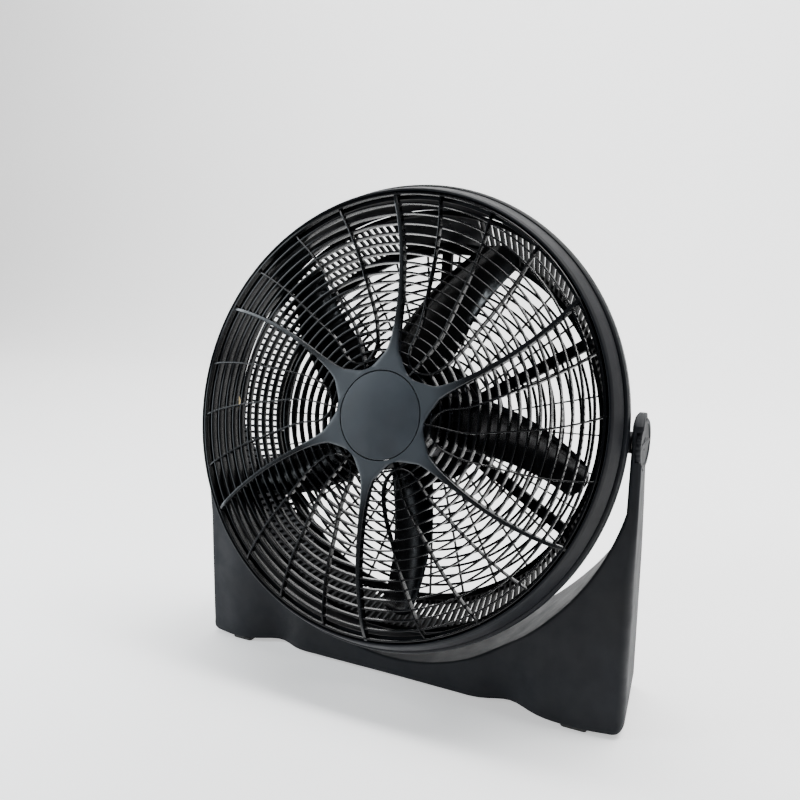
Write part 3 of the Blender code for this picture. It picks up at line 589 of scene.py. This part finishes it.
def build_rear_grille():
    skin = Skin()
    (r0, s0), (r1, s1) = SHOULDER
    for i in range(SLATS):
        phi = TAU * (i + 0.5) / SLATS
        if abs(phi - math.pi / 2.0) < PLATE_HALF:
            continue
        normal = head_point(s1 - s0, r0 - r1, phi)

        def centre(t, phi=phi):
            return head_point(lerp(r0, r1, t), lerp(s0, s1, t), phi)

        rib(skin, centre, fixed(0.0017), fixed(0.0056), 0.0007, 3, fixed(normal))
    plate = Skin()
    section = rounded([(r0, s0, 0.0006), (r1, s1, 0.0006),
                       (r1 - PLATE_THICK, s1, 0.0006), (r0 - PLATE_THICK, s0, 0.0006)])
    loops = []
    for i in range(33):
        phi = math.pi / 2.0 + lerp(-PLATE_HALF, PLATE_HALF, i / 32.0)
        loops.append([head_point(r, s, phi) for r, s in section])
    plate.tube(loops)
    piece("handle_plate_fine", plate, "black_plastic", "head", ["rear_grille"])
    flange = [(0.2500, -0.0128), (0.2500, -0.0178, 0.0010), (0.2478, -0.0192, 0.0010),
              (0.2448, -0.0188, 0.0006), (0.2452, -0.0130, 0.0006)]
    skin.turned(rounded(flange), FINE)
    corner = [(0.2252, -0.0640, 0.0008), (0.2238, -0.0712, 0.0040), (0.2188, -0.0762, 0.0025),
              (0.2128, -0.0762, 0.0008), (0.2128, -0.0712, 0.0006), (0.2185, -0.0705, 0.0020),
              (0.2208, -0.0640, 0.0006)]
    skin.turned(rounded(corner), FINE)
    for k in range(1, 13):
        r = 0.2130 - k * REAR_PITCH
        hoop(skin, r, face_s(r) + 0.0005, 0.0016, 0.0036, 0.0008, 216, -1.0)

    def radial(phi, half, depth, soft, proud):
        def centre(t):
            r = lerp(0.2150, 0.0740, t)
            return head_point(r, face_s(r) - proud, phi)
        rib(skin, centre, fixed(half), fixed(depth), soft, 16, fixed(FORWARD))

    for i in range(REAR_RIBS):
        radial(math.radians(1.5) + TAU * i / REAR_RIBS, 0.0009, 0.0045, 0.0006, 0.0)
    for i in range(SPOKES):
        radial(math.radians(30.0) + TAU * i / SPOKES, 0.0074, 0.0062, 0.0012, 0.0002)
    centre_ring = [(0.0762, -0.0800), (0.0762, -0.0834, 0.0008), (0.0532, -0.0834, 0.0006), (0.0530, -0.0800)]
    skin.turned(rounded(centre_ring), 144)
    piece("rear_grille_fine", skin, "dark_plastic", "head", ["rear_grille"])


# ---------------------------------------------------------------- fan
FAN_COUNT = 5
FAN_FIRST = math.radians(78.0)
FAN_HUB_R = 0.0440
FAN_TIP_R = 0.2290
BLADE_CHORD = (0.0780, 0.0470)      # root, tip
BLADE_PITCH_DEG = (26.0, 8.0)
BLADE_SWEEP = 0.30                  # radians the tip trails the root


def blade_point(t, u, face):
    """Point of a blade: t from root to tip, u from trailing to leading edge, face +1 or -1."""
    r = lerp(FAN_HUB_R - 0.0010, FAN_TIP_R, t)
    chord = lerp(*BLADE_CHORD, t)
    pitch = math.radians(lerp(*BLADE_PITCH_DEG, t))
    lead = -BLADE_SWEEP * t
    along = (u - 0.5) * chord
    camber = 0.010 * (1.0 - (2.0 * u - 1.0) ** 2) * lerp(0.6, 1.0, t)
    tip_round = 0.012 * (2.0 * u - 1.0) ** 2 * t ** 3
    rim = max(1.0 - abs(2.0 * u - 1.0) ** 14, 0.0) ** 0.5
    rim *= max(1.0 - max(2.0 * t - 1.0, 0.0) ** 24, 0.0) ** 0.5
    curl = 0.0030 * smooth((u - 0.88) / 0.12)
    phi = lead + along * math.cos(pitch) / max(r, 0.06)
    s = 0.0115 + along * math.sin(pitch) - camber + curl + face * 0.0011 * rim
    return head_point(r - tip_round, s, phi)


def build_fan():
    radial, chordal = 28, 24
    skin = Skin()
    for number in range(FAN_COUNT):
        turn = Matrix.Rotation(-(FAN_FIRST + TAU * number / FAN_COUNT), 4, "Y")
        loops = []
        for i in range(radial + 1):
            t = i / radial
            fore = [turn @ blade_point(t, j / chordal, 1.0) for j in range(chordal + 1)]
            aft = [turn @ blade_point(t, j / chordal, -1.0) for j in range(chordal, -1, -1)]
            loops.append(fore + aft)
        skin.tube(loops)
    hub = [(0.0043, 0.0330), (0.0120, 0.0330, 0.0010), (0.0300, 0.0322, 0.0300), (0.0405, 0.0285, 0.0080),
           (FAN_HUB_R, 0.0200, 0.0060), (FAN_HUB_R, -0.0100), (FAN_HUB_R - 0.0024, -0.0100),
           (FAN_HUB_R - 0.0024, 0.0185), (0.0380, 0.0252), (0.0290, 0.0290), (0.0120, 0.0298),
           (0.0120, -0.0060), (0.0043, -0.0060)]
    skin.turned(rounded(hub, 6), 120)
    piece("fan_fine", skin, "blade_plastic", "fan", ["fan_blade"], sharp_deg=40.0)
    spinner = Skin()
    outline = [(0.0043, 0.0334), (0.0165, 0.0334), (0.0160, 0.0370, 0.0006), (0.0150, 0.0430, 0.0016),
               (0.0075, 0.0468, 0.0020), (0.0043, 0.0470)]

    def grip(r, s, phi):
        return -0.0012 * (math.cos(6.0 * phi) * 0.5 + 0.5) ** 3 if r > 0.0120 and s > 0.0345 else 0.0

    spinner.turned(rounded(outline, 5), 96, ripple=grip)
    piece("blade_nut_fine", spinner, "black_plastic", "fan", ["blade_nut"])


# ---------------------------------------------------------------- motor and controls
MOTOR_R = 0.0460
MOTOR_SCREW_R = 0.0645
KNOB_X, KNOB_Z = 0.0, 0.0260
GLAND_Z = -0.0380


def build_motor():
    front = [(0.0086, -0.0130, 0.0005), (0.0200, -0.0130, 0.0040), (0.0400, -0.0180, 0.0060),
             (MOTOR_R, -0.0240, 0.0040), (MOTOR_R, -0.0318), (MOTOR_R - 0.0030, -0.0318),
             (MOTOR_R - 0.0030, -0.0250), (0.0380, -0.0205), (0.0190, -0.0160), (0.0150, -0.0160),
             (0.0150, -0.0230), (0.0086, -0.0230)]
    skin = Skin()
    skin.turned(rounded(front), 96)
    for i in range(12):
        phi = TAU * (i + 0.5) / 12

        def fin(t, phi=phi):
            return head_point(lerp(0.0210, 0.0405, t), lerp(-0.0129, -0.0180, t), phi)

        rib(skin, fin, fixed(0.0012), fixed(0.0020), 0.0005, 4, fixed(BACKWARD))
    piece("motor_front_bell_fine", skin, "aluminium", "head", ["motor_front_bell"])
    rear = [(MOTOR_R, -0.0602), (MOTOR_R, -0.0700, 0.0020), (0.0570, -0.0765, 0.0020),
            (0.0700, -0.0765, 0.0006), (0.0700, -0.0795, 0.0006), (0.0510, -0.0795),
            (0.0400, -0.0780), (0.0150, -0.0780), (0.0086, -0.0780), (0.0086, -0.0690),
            (0.0150, -0.0690), (0.0150, -0.0750), (0.0400, -0.0750),
            (MOTOR_R - 0.0030, -0.0680), (MOTOR_R - 0.0030, -0.0602)]
    skin = Skin()
    skin.turned(rounded(rear), 96)
    piece("motor_rear_bell_fine", skin, "aluminium", "head", ["motor_rear_bell"])
    for number in range(4):
        phi = math.radians(45.0 + 90.0 * number)
        at = (MOTOR_SCREW_R * math.cos(phi), MOTOR_SCREW_R * math.sin(phi))
        skin = Skin()
        shank = [(0.0, -0.0832), (0.0016, -0.0832), (0.0016, -0.0762), (0.0034, -0.0762),
                 (0.0034, -0.0745, 0.0008), (0.0028, -0.0734, 0.0010), (0.0, -0.0732)]
        skin.turned(rounded(shank), 40, at)
        piece("motor_screw_fine_%d" % (number + 1), skin, "steel", "head", ["motor_screw_%d" % (number + 1)])


def build_motor_cover():
    """Domed cover with a slotted skirt, a round control panel and a knob recess."""
    slots = 40
    columns = 8 * slots
    skin = Skin()
    outer = rounded([(0.0700, -0.0839), (0.0672, -0.0965), (0.0655, -0.1040), (0.0640, -0.1110, 0.0060),
                     (0.0600, -0.1180, 0.0060), (0.0520, -0.1212, 0.0080), (0.0, -0.1222)], 5)
    inner = [(max(r - 0.0026, 0.0), s + 0.0026 * smooth((0.066 - r) / 0.006)) for r, s in outer]
    rows = []
    for i in range(columns):
        phi = TAU * i / columns
        rows.append(([skin.row([head_point(r, s, phi)])[0] for r, s in outer],
                     [skin.row([head_point(r, s, phi)])[0] for r, s in inner]))

    def is_open(column, k):
        return k == 1 and column % 8 < 3

    for i in range(columns):
        (a_out, a_in), (b_out, b_in) = rows[i], rows[(i + 1) % columns]
        for k in range(len(outer) - 1):
            if is_open(i, k):
                skin.faces.append((a_out[k], b_out[k], b_in[k], a_in[k]))
                skin.faces.append((a_out[k + 1], a_in[k + 1], b_in[k + 1], b_out[k + 1]))
                continue
            skin.faces.append((a_out[k], a_out[k + 1], b_out[k + 1], b_out[k]))
            skin.faces.append((a_in[k], b_in[k], b_in[k + 1], a_in[k + 1]))
            if is_open((i - 1) % columns, k):
                skin.faces.append((a_out[k], a_in[k], a_in[k + 1], a_out[k + 1]))
            if is_open((i + 1) % columns, k):
                skin.faces.append((b_out[k], b_out[k + 1], b_in[k + 1], b_in[k]))
        skin.faces.append((a_out[0], b_out[0], b_in[0], a_in[0]))
    cover = piece("motor_cover_fine", skin, "black_plastic", "head", ["motor_cover"])
    cut(cover, tool(rod(0.0041, -0.1300, -0.1150, 32, (KNOB_X, KNOB_Z)), HEAD))
    cut(cover, tool(rod(0.0050, -0.1300, -0.1150, 32, (0.0, GLAND_Z)), HEAD))


def build_dial_marks():
    """Moulded figures, 0 to 3, round the speed knob."""
    for number in range(4):
        phi = math.radians(155.0 - 45.0 * number)
        at = Vector((KNOB_X + 0.0215 * math.cos(phi), 0.1221, KNOB_Z + 0.0215 * math.sin(phi)))
        curve = bpy.data.curves.new("figure", type="FONT")
        curve.body = str(number)
        curve.size = 0.0062
        curve.align_x = "CENTER"
        curve.align_y = "CENTER"
        curve.extrude = 0.00018
        text = bpy.data.objects.new("figure", curve)
        bpy.context.collection.objects.link(text)
        bpy.context.view_layer.update()
        mesh = bpy.data.meshes.new_from_object(text.evaluated_get(bpy.context.evaluated_depsgraph_get()))
        bpy.data.objects.remove(text, do_unlink=True)
        upright = Matrix.Rotation(math.pi, 4, "Z") @ Matrix.Rotation(math.pi / 2.0, 4, "X")
        mesh.transform(HEAD @ Matrix.Translation(at) @ upright)
        mesh.materials.clear()
        mesh.materials.append(LOOKS["dial_print"])
        obj = bpy.data.objects.new("dial_figure_%d" % number, mesh)
        bpy.context.collection.objects.link(obj)
        settle(obj, "head", [])


def build_speed_knob():
    """Round knob with a fluted side and a raised pointer bar."""
    s0 = -0.1270

    def flutes(r, s, phi):
        wall = s0 - 0.0095 < s < s0 + 0.0010 and r > 0.0120
        return -0.0005 * (0.5 + 0.5 * math.cos(18.0 * phi)) if wall else 0.0

    outline = [(0.0, s0 - 0.0100), (0.0100, s0 - 0.0099, 0.0030), (0.0130, s0 - 0.0090, 0.0016),
               (0.0143, s0 - 0.0020), (0.0150, s0 + 0.0028, 0.0006), (0.0146, s0 + 0.0030),
               (0.0040, s0 + 0.0030), (0.0040, s0 - 0.0001), (0.0, s0 - 0.0001)]
    skin = Skin()
    skin.turned(rounded(outline), 144, (KNOB_X, KNOB_Z), flutes)

    def pointer(t):
        return Vector((KNOB_X, -s0 + 0.0109, KNOB_Z + lerp(-0.0108, 0.0122, t)))

    rib(skin, pointer, lambda t: lerp(0.0021, 0.0012, t), fixed(0.0060), 0.0007, 10, fixed(FORWARD))
    piece("speed_knob_fine", skin, "black_plastic", "speed_knob", ["speed_knob"])
    mark = Skin()

    def line(t):
        return Vector((KNOB_X, -s0 + 0.01095, KNOB_Z + lerp(0.0050, 0.0112, t)))

    rib(mark, line, fixed(0.0005), fixed(0.0004), 0.0002, 2, fixed(FORWARD))
    piece("speed_knob_mark", mark, "dial_print", "speed_knob")


def build_gland():
    """Rubber strain relief with ribs."""
    outline = [(0.0018, -0.1140), (0.0046, -0.1140), (0.0046, -0.1226), (0.0085, -0.1228, 0.0005),
               (0.0083, -0.1250, 0.0005), (0.0064, -0.1256), (0.0064, -0.1268), (0.0076, -0.1270, 0.0003),
               (0.0074, -0.1284, 0.0003), (0.0058, -0.1287), (0.0058, -0.1296), (0.0066, -0.1298, 0.0003),
               (0.0064, -0.1311, 0.0003), (0.0051, -0.1314), (0.0048, -0.1330, 0.0006), (0.0026, -0.1330),
               (0.0018, -0.1310)]
    skin = Skin()
    skin.turned(rounded(outline), 56, (0.0, GLAND_Z))
    piece("cord_gland_fine", skin, "rubber", "head", ["cord_gland"])


def build_handle():
    """Arched carry handle over the slotted shoulder, thicker at its feet."""
    half_span, foot_z, rise, depth_y = 0.0580, 0.2302, 0.0258, 0.0500
    steps = 56
    path = []
    for i in range(steps + 1):
        a = math.pi * (1.0 - i / steps)
        x = half_span * math.copysign(abs(math.cos(a)) ** 0.6, math.cos(a))
        path.append(Vector((x, depth_y, foot_z + rise * max(math.sin(a), 0.0) ** 0.6)))
    loops = []
    for i, centre in enumerate(path):
        ahead = path[min(i + 1, steps)] - path[max(i - 1, 0)]
        normal = Vector((-ahead.z, 0.0, ahead.x)).normalized()
        flare = 1.0 + 0.18 * (2.0 * i / steps - 1.0) ** 8
        outline = rounded([(-0.0088 * flare, -0.0040, 0.0026), (0.0088 * flare, -0.0040, 0.0026),
                           (0.0088 * flare, 0.0040, 0.0026), (-0.0088 * flare, 0.0040, 0.0026)], 5)
        loops.append([centre + Vector((0.0, u, 0.0)) + normal * v for u, v in outline])
    skin = Skin()
    skin.tube(loops)
    piece("carry_handle_fine", skin, "black_plastic", "head", ["carry_handle"])


# ---------------------------------------------------------------- tilt knobs
KNOB_R = 0.0272


def build_tilt_knobs():
    for label, side in (("left", -1.0), ("right", 1.0)):
        place = Matrix.Translation(PIVOT) @ sideways(side)

        def scallops(r, s, phi):
            wall = r > KNOB_R - 0.0016 and s > 0.2735
            return -0.0007 * (0.5 + 0.5 * math.cos(30.0 * phi)) ** 2 if wall else 0.0

        outline = [(0.0, 0.2753), (0.0044, 0.2753), (0.0044, 0.2728), (KNOB_R - 0.0010, 0.2728, 0.0005),
                   (KNOB_R, 0.2738, 0.0004), (KNOB_R, 0.2764, 0.0010), (KNOB_R - 0.0016, 0.2779, 0.0010),
                   (0.0215, 0.2780, 0.0006), (0.0205, 0.2770, 0.0008), (0.0075, 0.2769, 0.0006),
                   (0.0062, 0.2776, 0.0005), (0.0, 0.2777)]
        skin = Skin()
        skin.turned(rounded(outline), 240, ripple=scallops)

        def bar(t):
            return Vector((lerp(-0.0195, 0.0195, t), -0.2780, 0.0))

        def bar_half(t):
            return 0.0034 - 0.0012 * (2.0 * t - 1.0) ** 2

        rib(skin, bar, bar_half, fixed(0.0020), 0.0012, 16, fixed(BACKWARD))
        piece("tilt_knob_%s_fine" % label, skin, "knob_plastic", "tilt_knob_" + label, ["tilt_knob_" + label],
              place=place)


# ---------------------------------------------------------------- base
BASE_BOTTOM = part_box("base_shell")[0][2]
ARM_TOP_R = 0.0320
ARM_INNER_X = 0.2680
SIDE_X = 0.2768
SIDE_DRAFT = 0.12
SADDLE_R = 0.2765
SADDLE_FLAT = 0.0145
CORNER_R = 0.0120
VALLEY_X = 0.1570
VALLEY_SHIFT = -0.0120
POCKET_FLOOR_X = 0.2725
WALL = 0.0026
LEVEL = Matrix.Translation((0.0, PIVOT_Y, 0.0))


def saddle_radius(drop):
    flat = math.cos(min(abs(1.8 * drop), math.pi / 2.0)) ** 2
    return SADDLE_R + SADDLE_FLAT * flat


def front_y(x, z):
    """Depth of the front face: legs stand forward, with a valley beside the middle."""
    height = min(max((PIVOT_Z - z) / PIVOT_Z, 0.0), 1.0)
    leg = -0.0320 - 0.0170 * height ** 0.8
    low = smooth((0.16 - z) / 0.16)
    across = abs(x - VALLEY_SHIFT)
    valley = 0.0190 * low * math.exp(-((across - VALLEY_X) / 0.030) ** 2)
    middle = 0.0065 * low * smooth((0.15 - across) / 0.06)
    crown = lerp(0.0090, 0.0062, height) * smooth((abs(x) - 0.225) / 0.052)
    return leg + valley + middle + crown


def back_y(z):
    return 0.0320 + 0.0450 * smooth((PIVOT_Z - z) / 0.15)


def arm_half_depth(z):
    above = max(z - PIVOT_Z, 0.0)
    return math.sqrt(max(ARM_TOP_R ** 2 - above ** 2, 1e-7))


def base_stations():
    """Pairs of (inner, outer) outline points in XZ, from the right arm's top to x = 0.

    The outer point's first number is a fraction of the side face, 1 on it.
    """
    meet = math.asin(ARM_INNER_X / SADDLE_R)
    meet_z = PIVOT_Z - SADDLE_R * math.cos(meet)
    low_corner = BASE_BOTTOM + CORNER_R
    inset = CORNER_R / SIDE_X
    stations = []
    for i in range(16):
        z = PIVOT_Z + ARM_TOP_R * math.sin(math.radians(lerp(84.0, 0.0, i / 15.0)))
        soft = 0.0022 * (1.0 - math.sqrt(max(1.0 - (max(z - PIVOT_Z - 0.0296, 0.0) / 0.0023) ** 2, 0.0)))
        stations.append(((ARM_INNER_X + soft, z), (1.0 - 1.2 * soft / SIDE_X, z)))
    for i in range(1, 10):
        z = lerp(PIVOT_Z, meet_z, i / 10.0)
        stations.append(((ARM_INNER_X, z), (1.0, z)))
    side_end, corner_end = 4.0 / 12.0, 7.0 / 12.0
    for i in range(73):
        t = i / 72.0
        if t < side_end:
            outer = (1.0, lerp(meet_z, low_corner, t / side_end))
        elif t < corner_end:
            a = math.radians(90.0 * (t - side_end) / (corner_end - side_end))
            outer = (1.0 - inset * (1.0 - math.cos(a)), low_corner - CORNER_R * math.sin(a))
        else:
            outer = (lerp(1.0 - inset, 0.0, (t - corner_end) / (1.0 - corner_end)), BASE_BOTTOM)
        drop = lerp(meet, 0.0, t ** 0.9)
        radius = saddle_radius(drop)
        stations.append(((radius * math.sin(drop), PIVOT_Z - radius * math.cos(drop)), outer))
    return stations


STATIONS = base_stations()
SOLID_ARM = 18              # the arms are solid above this station


class Section:
    """The moulding's cross-section at one station, on the right (sign 1) or left (-1)."""

    def __init__(self, station, sign):
        (self.xi, self.zi), (self.fraction, self.zo) = station
        self.sign = sign
        self.length = math.hypot(self.fraction * SIDE_X - self.xi, self.zo - self.zi)
        z = (self.zi + self.zo) / 2.0
        self.back = arm_half_depth(z) if z >= PIVOT_Z else back_y(z)
        self.on_side = smooth((self.zo - BASE_BOTTOM) / CORNER_R)

    def point(self, distance, y):
        """Point a distance from the inner edge, at depth y behind the tilt axis."""
        t = distance / self.length
        side = SIDE_X - SIDE_DRAFT * y
        x = lerp(self.xi, self.fraction * side, t)
        return Vector((self.sign * x, y, lerp(self.zi, self.zo, t)))

    def front(self, distance):
        t = distance / self.length
        z = lerp(self.zi, self.zo, t)
        y = front_y(self.sign * lerp(self.xi, self.fraction * SIDE_X, t), z)
        return max(y, -arm_half_depth(z)) if z >= PIVOT_Z else y

    def loop(self, inset, back):
        """Loop round the section: inner back edge, front face, outer back edge."""
        room = 0.45 * (self.back - self.front(0.0))
        lip = min(0.0032, 0.3 * self.length, room)
        corner = min(lerp(0.0040, 0.0160, self.on_side), 0.35 * self.length, room)
        steps = [(inset, back)]
        radius = max(lip - inset, 0.0004)
        for k in range(6):
            a = math.radians(18.0 * k)
            steps.append((inset + radius * (1.0 - math.cos(a)),
                          self.front(lip) + inset + radius * (1.0 - math.sin(a))))
        start = inset + radius
        centre = self.length - inset - max(corner - inset, 0.0004)
        for k in range(1, 18):
            d = lerp(start, centre, k / 18.0)
            steps.append((d, self.front(d) + inset))
        radius = max(corner - inset, 0.0004)
        for k in range(11):
            a = math.radians(9.0 * k)
            steps.append((centre + radius * math.sin(a),
                          self.front(centre) + inset + radius * (1.0 - math.cos(a))))
        steps.append((self.length - inset, back))
        return [self.point(d, y) for d, y in steps]

    def plate(self, inset, y0, y1, count=14):
        """Flat loop between two depths, with points along both faces."""
        along = [lerp(inset, self.length - inset, k / count) for k in range(count + 1)]
        return [self.point(d, y0) for d in along] + [self.point(d, y1) for d in reversed(along)]


def sections(first):
    """Sections from one arm to the other, leaving out the arms above a station."""
    half = STATIONS[first:]
    return [Section(st, 1.0) for st in half] + [Section(st, -1.0) for st in half[-2::-1]]


def build_base():
    skin = Skin()
    skin.tube([sec.loop(0.0, sec.back) for sec in sections(0)])
    shell = piece("base_shell_fine", skin, "base_plastic", "base", ["base_shell"], place=LEVEL)
    hollow = Skin()
    hollow.tube([sec.loop(WALL, sec.back + 0.02) for sec in sections(SOLID_ARM)])
    cut(shell, tool(hollow, LEVEL))
    for side in (-1.0, 1.0):
        place = Matrix.Translation(PIVOT) @ sideways(side)
        cut(shell, tool(rod(KNOB_R + 0.0012, POCKET_FLOOR_X, 0.3000, 96), place))
        cut(shell, tool(rod(0.0080, 0.2600, 0.3000, 48), place))


def build_back_cover():
    margin = WALL + 0.0003
    skin = Skin()
    skin.tube([sec.plate(margin, sec.back - 0.0036, sec.back - 0.0010) for sec in sections(SOLID_ARM + 1)])
    piece("back_cover_fine", skin, "black_plastic", "base", ["base_back_cover"], place=LEVEL)


COVER_SCREWS = ((0.205, 0.050), (0.075, 0.0195))    # x and z of those on one side


def build_cover_screws():
    """Pan-head screws with a cross recess, facing the rear."""
    places = [(side, x, z) for side in (-1.0, 1.0) for x, z in COVER_SCREWS]
    for number, (side, x, z) in enumerate(places, 1):
        deck = back_y(z) - 0.0008

        def depth(u, v):
            r = math.hypot(u, v)
            dome = 0.0021 * math.sqrt(max(1.0 - (r / 0.0046) ** 2, 0.0))
            arm = min(abs(u), abs(v)) < 0.00055 and max(abs(u), abs(v)) < 0.0026
            return min(dome, 0.0004) if arm else dome

        skin = Skin()
        rings, steps = 20, 96
        rows = []
        for i in range(rings + 1):
            r = 0.0044 * i / rings
            row = []
            for j in range(steps):
                a = TAU * j / steps
                u, v = r * math.cos(a), r * math.sin(a)
                row.append(Vector((side * x + u, deck + depth(u, v), z + v)))
            rows.append(skin.row(row))
        base = skin.row([Vector((side * x + 0.0044 * math.cos(TAU * j / steps), deck - 0.0006,
                                 z + 0.0044 * math.sin(TAU * j / steps))) for j in range(steps)])
        for a, b in zip(rows, rows[1:] + [base]):
            skin.bridge(a, b)
        skin.faces.append(tuple(base))
        piece("cover_screw_fine_%d" % number, skin, "steel", "base", ["cover_screw_%d" % number], place=LEVEL)


def build_feet():
    """Rubber pads with soft edges."""
    for name in ("front_left", "front_right", "rear_left", "rear_right"):
        low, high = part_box("foot_" + name)
        cx, cy = (low[0] + high[0]) / 2.0, (low[1] + high[1]) / 2.0
        half_x, half_y, top = (high[0] - low[0]) / 2.0, (high[1] - low[1]) / 2.0, high[2]
        skin = Skin()
        loops = []
        for z, inset in ((top, 0.0), (0.0012, 0.0), (0.0004, 0.0004), (0.0, 0.0012)):
            soft = 0.0045
            corners = [(-half_x + inset, -half_y + inset, soft), (half_x - inset, -half_y + inset, soft),
                       (half_x - inset, half_y - inset, soft), (-half_x + inset, half_y - inset, soft)]
            loops.append([Vector((cx + u, cy + v, z)) for u, v in rounded(corners, 6)])
        skin.tube(loops)
        piece("foot_%s_fine" % name, skin, "rubber", "base", ["foot_" + name], place=Matrix.Identity(4))


# ---------------------------------------------------------------- build everything
build_front_grille()
build_badge()
build_bezel()
build_shroud()
build_rear_grille()
build_fan()
build_motor()
build_motor_cover()
build_dial_marks()
build_speed_knob()
build_gland()
build_handle()
build_tilt_knobs()
build_base()
build_back_cover()
build_cover_screws()
build_feet()

for name, node in frame["nodes"].items():
    if node.type == "MESH":
        node.data.materials.clear()
        node.data.materials.append(LOOKS[SLOT_OF[name]])

# ---------------------------------------------------------------- stage, lights, camera
def build_floor():
    """Pale floor that curves up into a backdrop."""
    width, near, far, height = 6.0, -3.0, 2.6, 4.5
    profile = [(near, 0.0), (far - 1.0, 0.0)]
    for i in range(1, 13):
        a = math.radians(90.0 * i / 12)
        profile.append((far - 1.0 + 1.0 * math.sin(a), 1.0 - 1.0 * math.cos(a)))
    profile.append((far, height))
    skin = Skin()
    for y, z in profile:
        skin.row([(-width, y, z), (width, y, z)])
    for i in range(len(profile) - 1):
        skin.faces.append((2 * i, 2 * i + 1, 2 * i + 3, 2 * i + 2))
    mesh = bpy.data.meshes.new("studio_floor")
    mesh.from_pydata([tuple(p) for p in skin.points], [], skin.faces)
    mesh.shade_smooth()
    floor = bpy.data.objects.new("studio_floor", mesh)
    bpy.context.collection.objects.link(floor)
    n = Nodes("floor_paper")
    n.link(n.mix(n.noise(3.0), (0.90, 0.90, 0.90), (0.93, 0.93, 0.93)), n.shader.inputs["Base Color"])
    n.shader.inputs["Roughness"].default_value = 0.9
    n.shader.inputs["Emission Color"].default_value = (1.0, 1.0, 1.0, 1.0)
    n.shader.inputs["Emission Strength"].default_value = 0.62
    mesh.materials.append(n.mat)


def area_light(name, location, target, size, power, colour=(1.0, 1.0, 1.0)):
    data = bpy.data.lights.new(name, "AREA")
    data.shape = "RECTANGLE"
    data.size, data.size_y = size
    data.energy = power
    data.color = colour
    light = bpy.data.objects.new(name, data)
    light.location = location
    light.rotation_euler = (Vector(target) - Vector(location)).to_track_quat("-Z", "Y").to_euler()
    bpy.context.collection.objects.link(light)


def build_camera():
    eye = Vector((0.4232, PIVOT_Y - 0.8136, 0.5301))
    target = Vector((-0.0145, PIVOT_Y, 0.2924))
    roll = math.radians(-0.894)
    data = bpy.data.cameras.new("camera")
    data.lens = 35.96
    data.sensor_width = 36.0
    data.shift_x = 0.0091
    data.shift_y = 0.0496
    camera = bpy.data.objects.new("camera", data)
    camera.location = eye
    look = (target - eye).to_track_quat("-Z", "Y").to_matrix().to_4x4()
    camera.rotation_euler = (look @ Matrix.Rotation(roll, 4, "Z")).to_euler()
    bpy.context.collection.objects.link(camera)
    bpy.context.scene.camera = camera


def build_world():
    world = bpy.data.worlds.new("studio")
    bpy.context.scene.world = world
    world.use_nodes = True
    world.node_tree.nodes["Background"].inputs["Color"].default_value = (1.0, 1.0, 1.0, 1.0)
    world.node_tree.nodes["Background"].inputs["Strength"].default_value = 0.09


build_floor()
build_world()
build_camera()
area_light("backdrop_wash", (0.0, 0.6, 3.4), (0.0, 2.2, 0.4), (4.5, 1.2), 230.0)
area_light("key", (-1.4, -1.0, 1.2), (-0.1, 0.0, 0.35), (0.6, 0.6), 18.0, (0.86, 0.94, 1.0))
area_light("low_left", (-1.3, -0.8, 0.40), (-0.2, 0.0, 0.2), (0.5, 0.5), 8.0, (0.84, 0.93, 1.0))
area_light("right", (1.1, 0.3, 2.0), (0.1, 0.0, 0.4), (0.5, 0.5), 13.0)
area_light("top", (0.5, 0.4, 2.4), (0.0, 0.0, 0.3), (1.0, 1.0), 30.0)
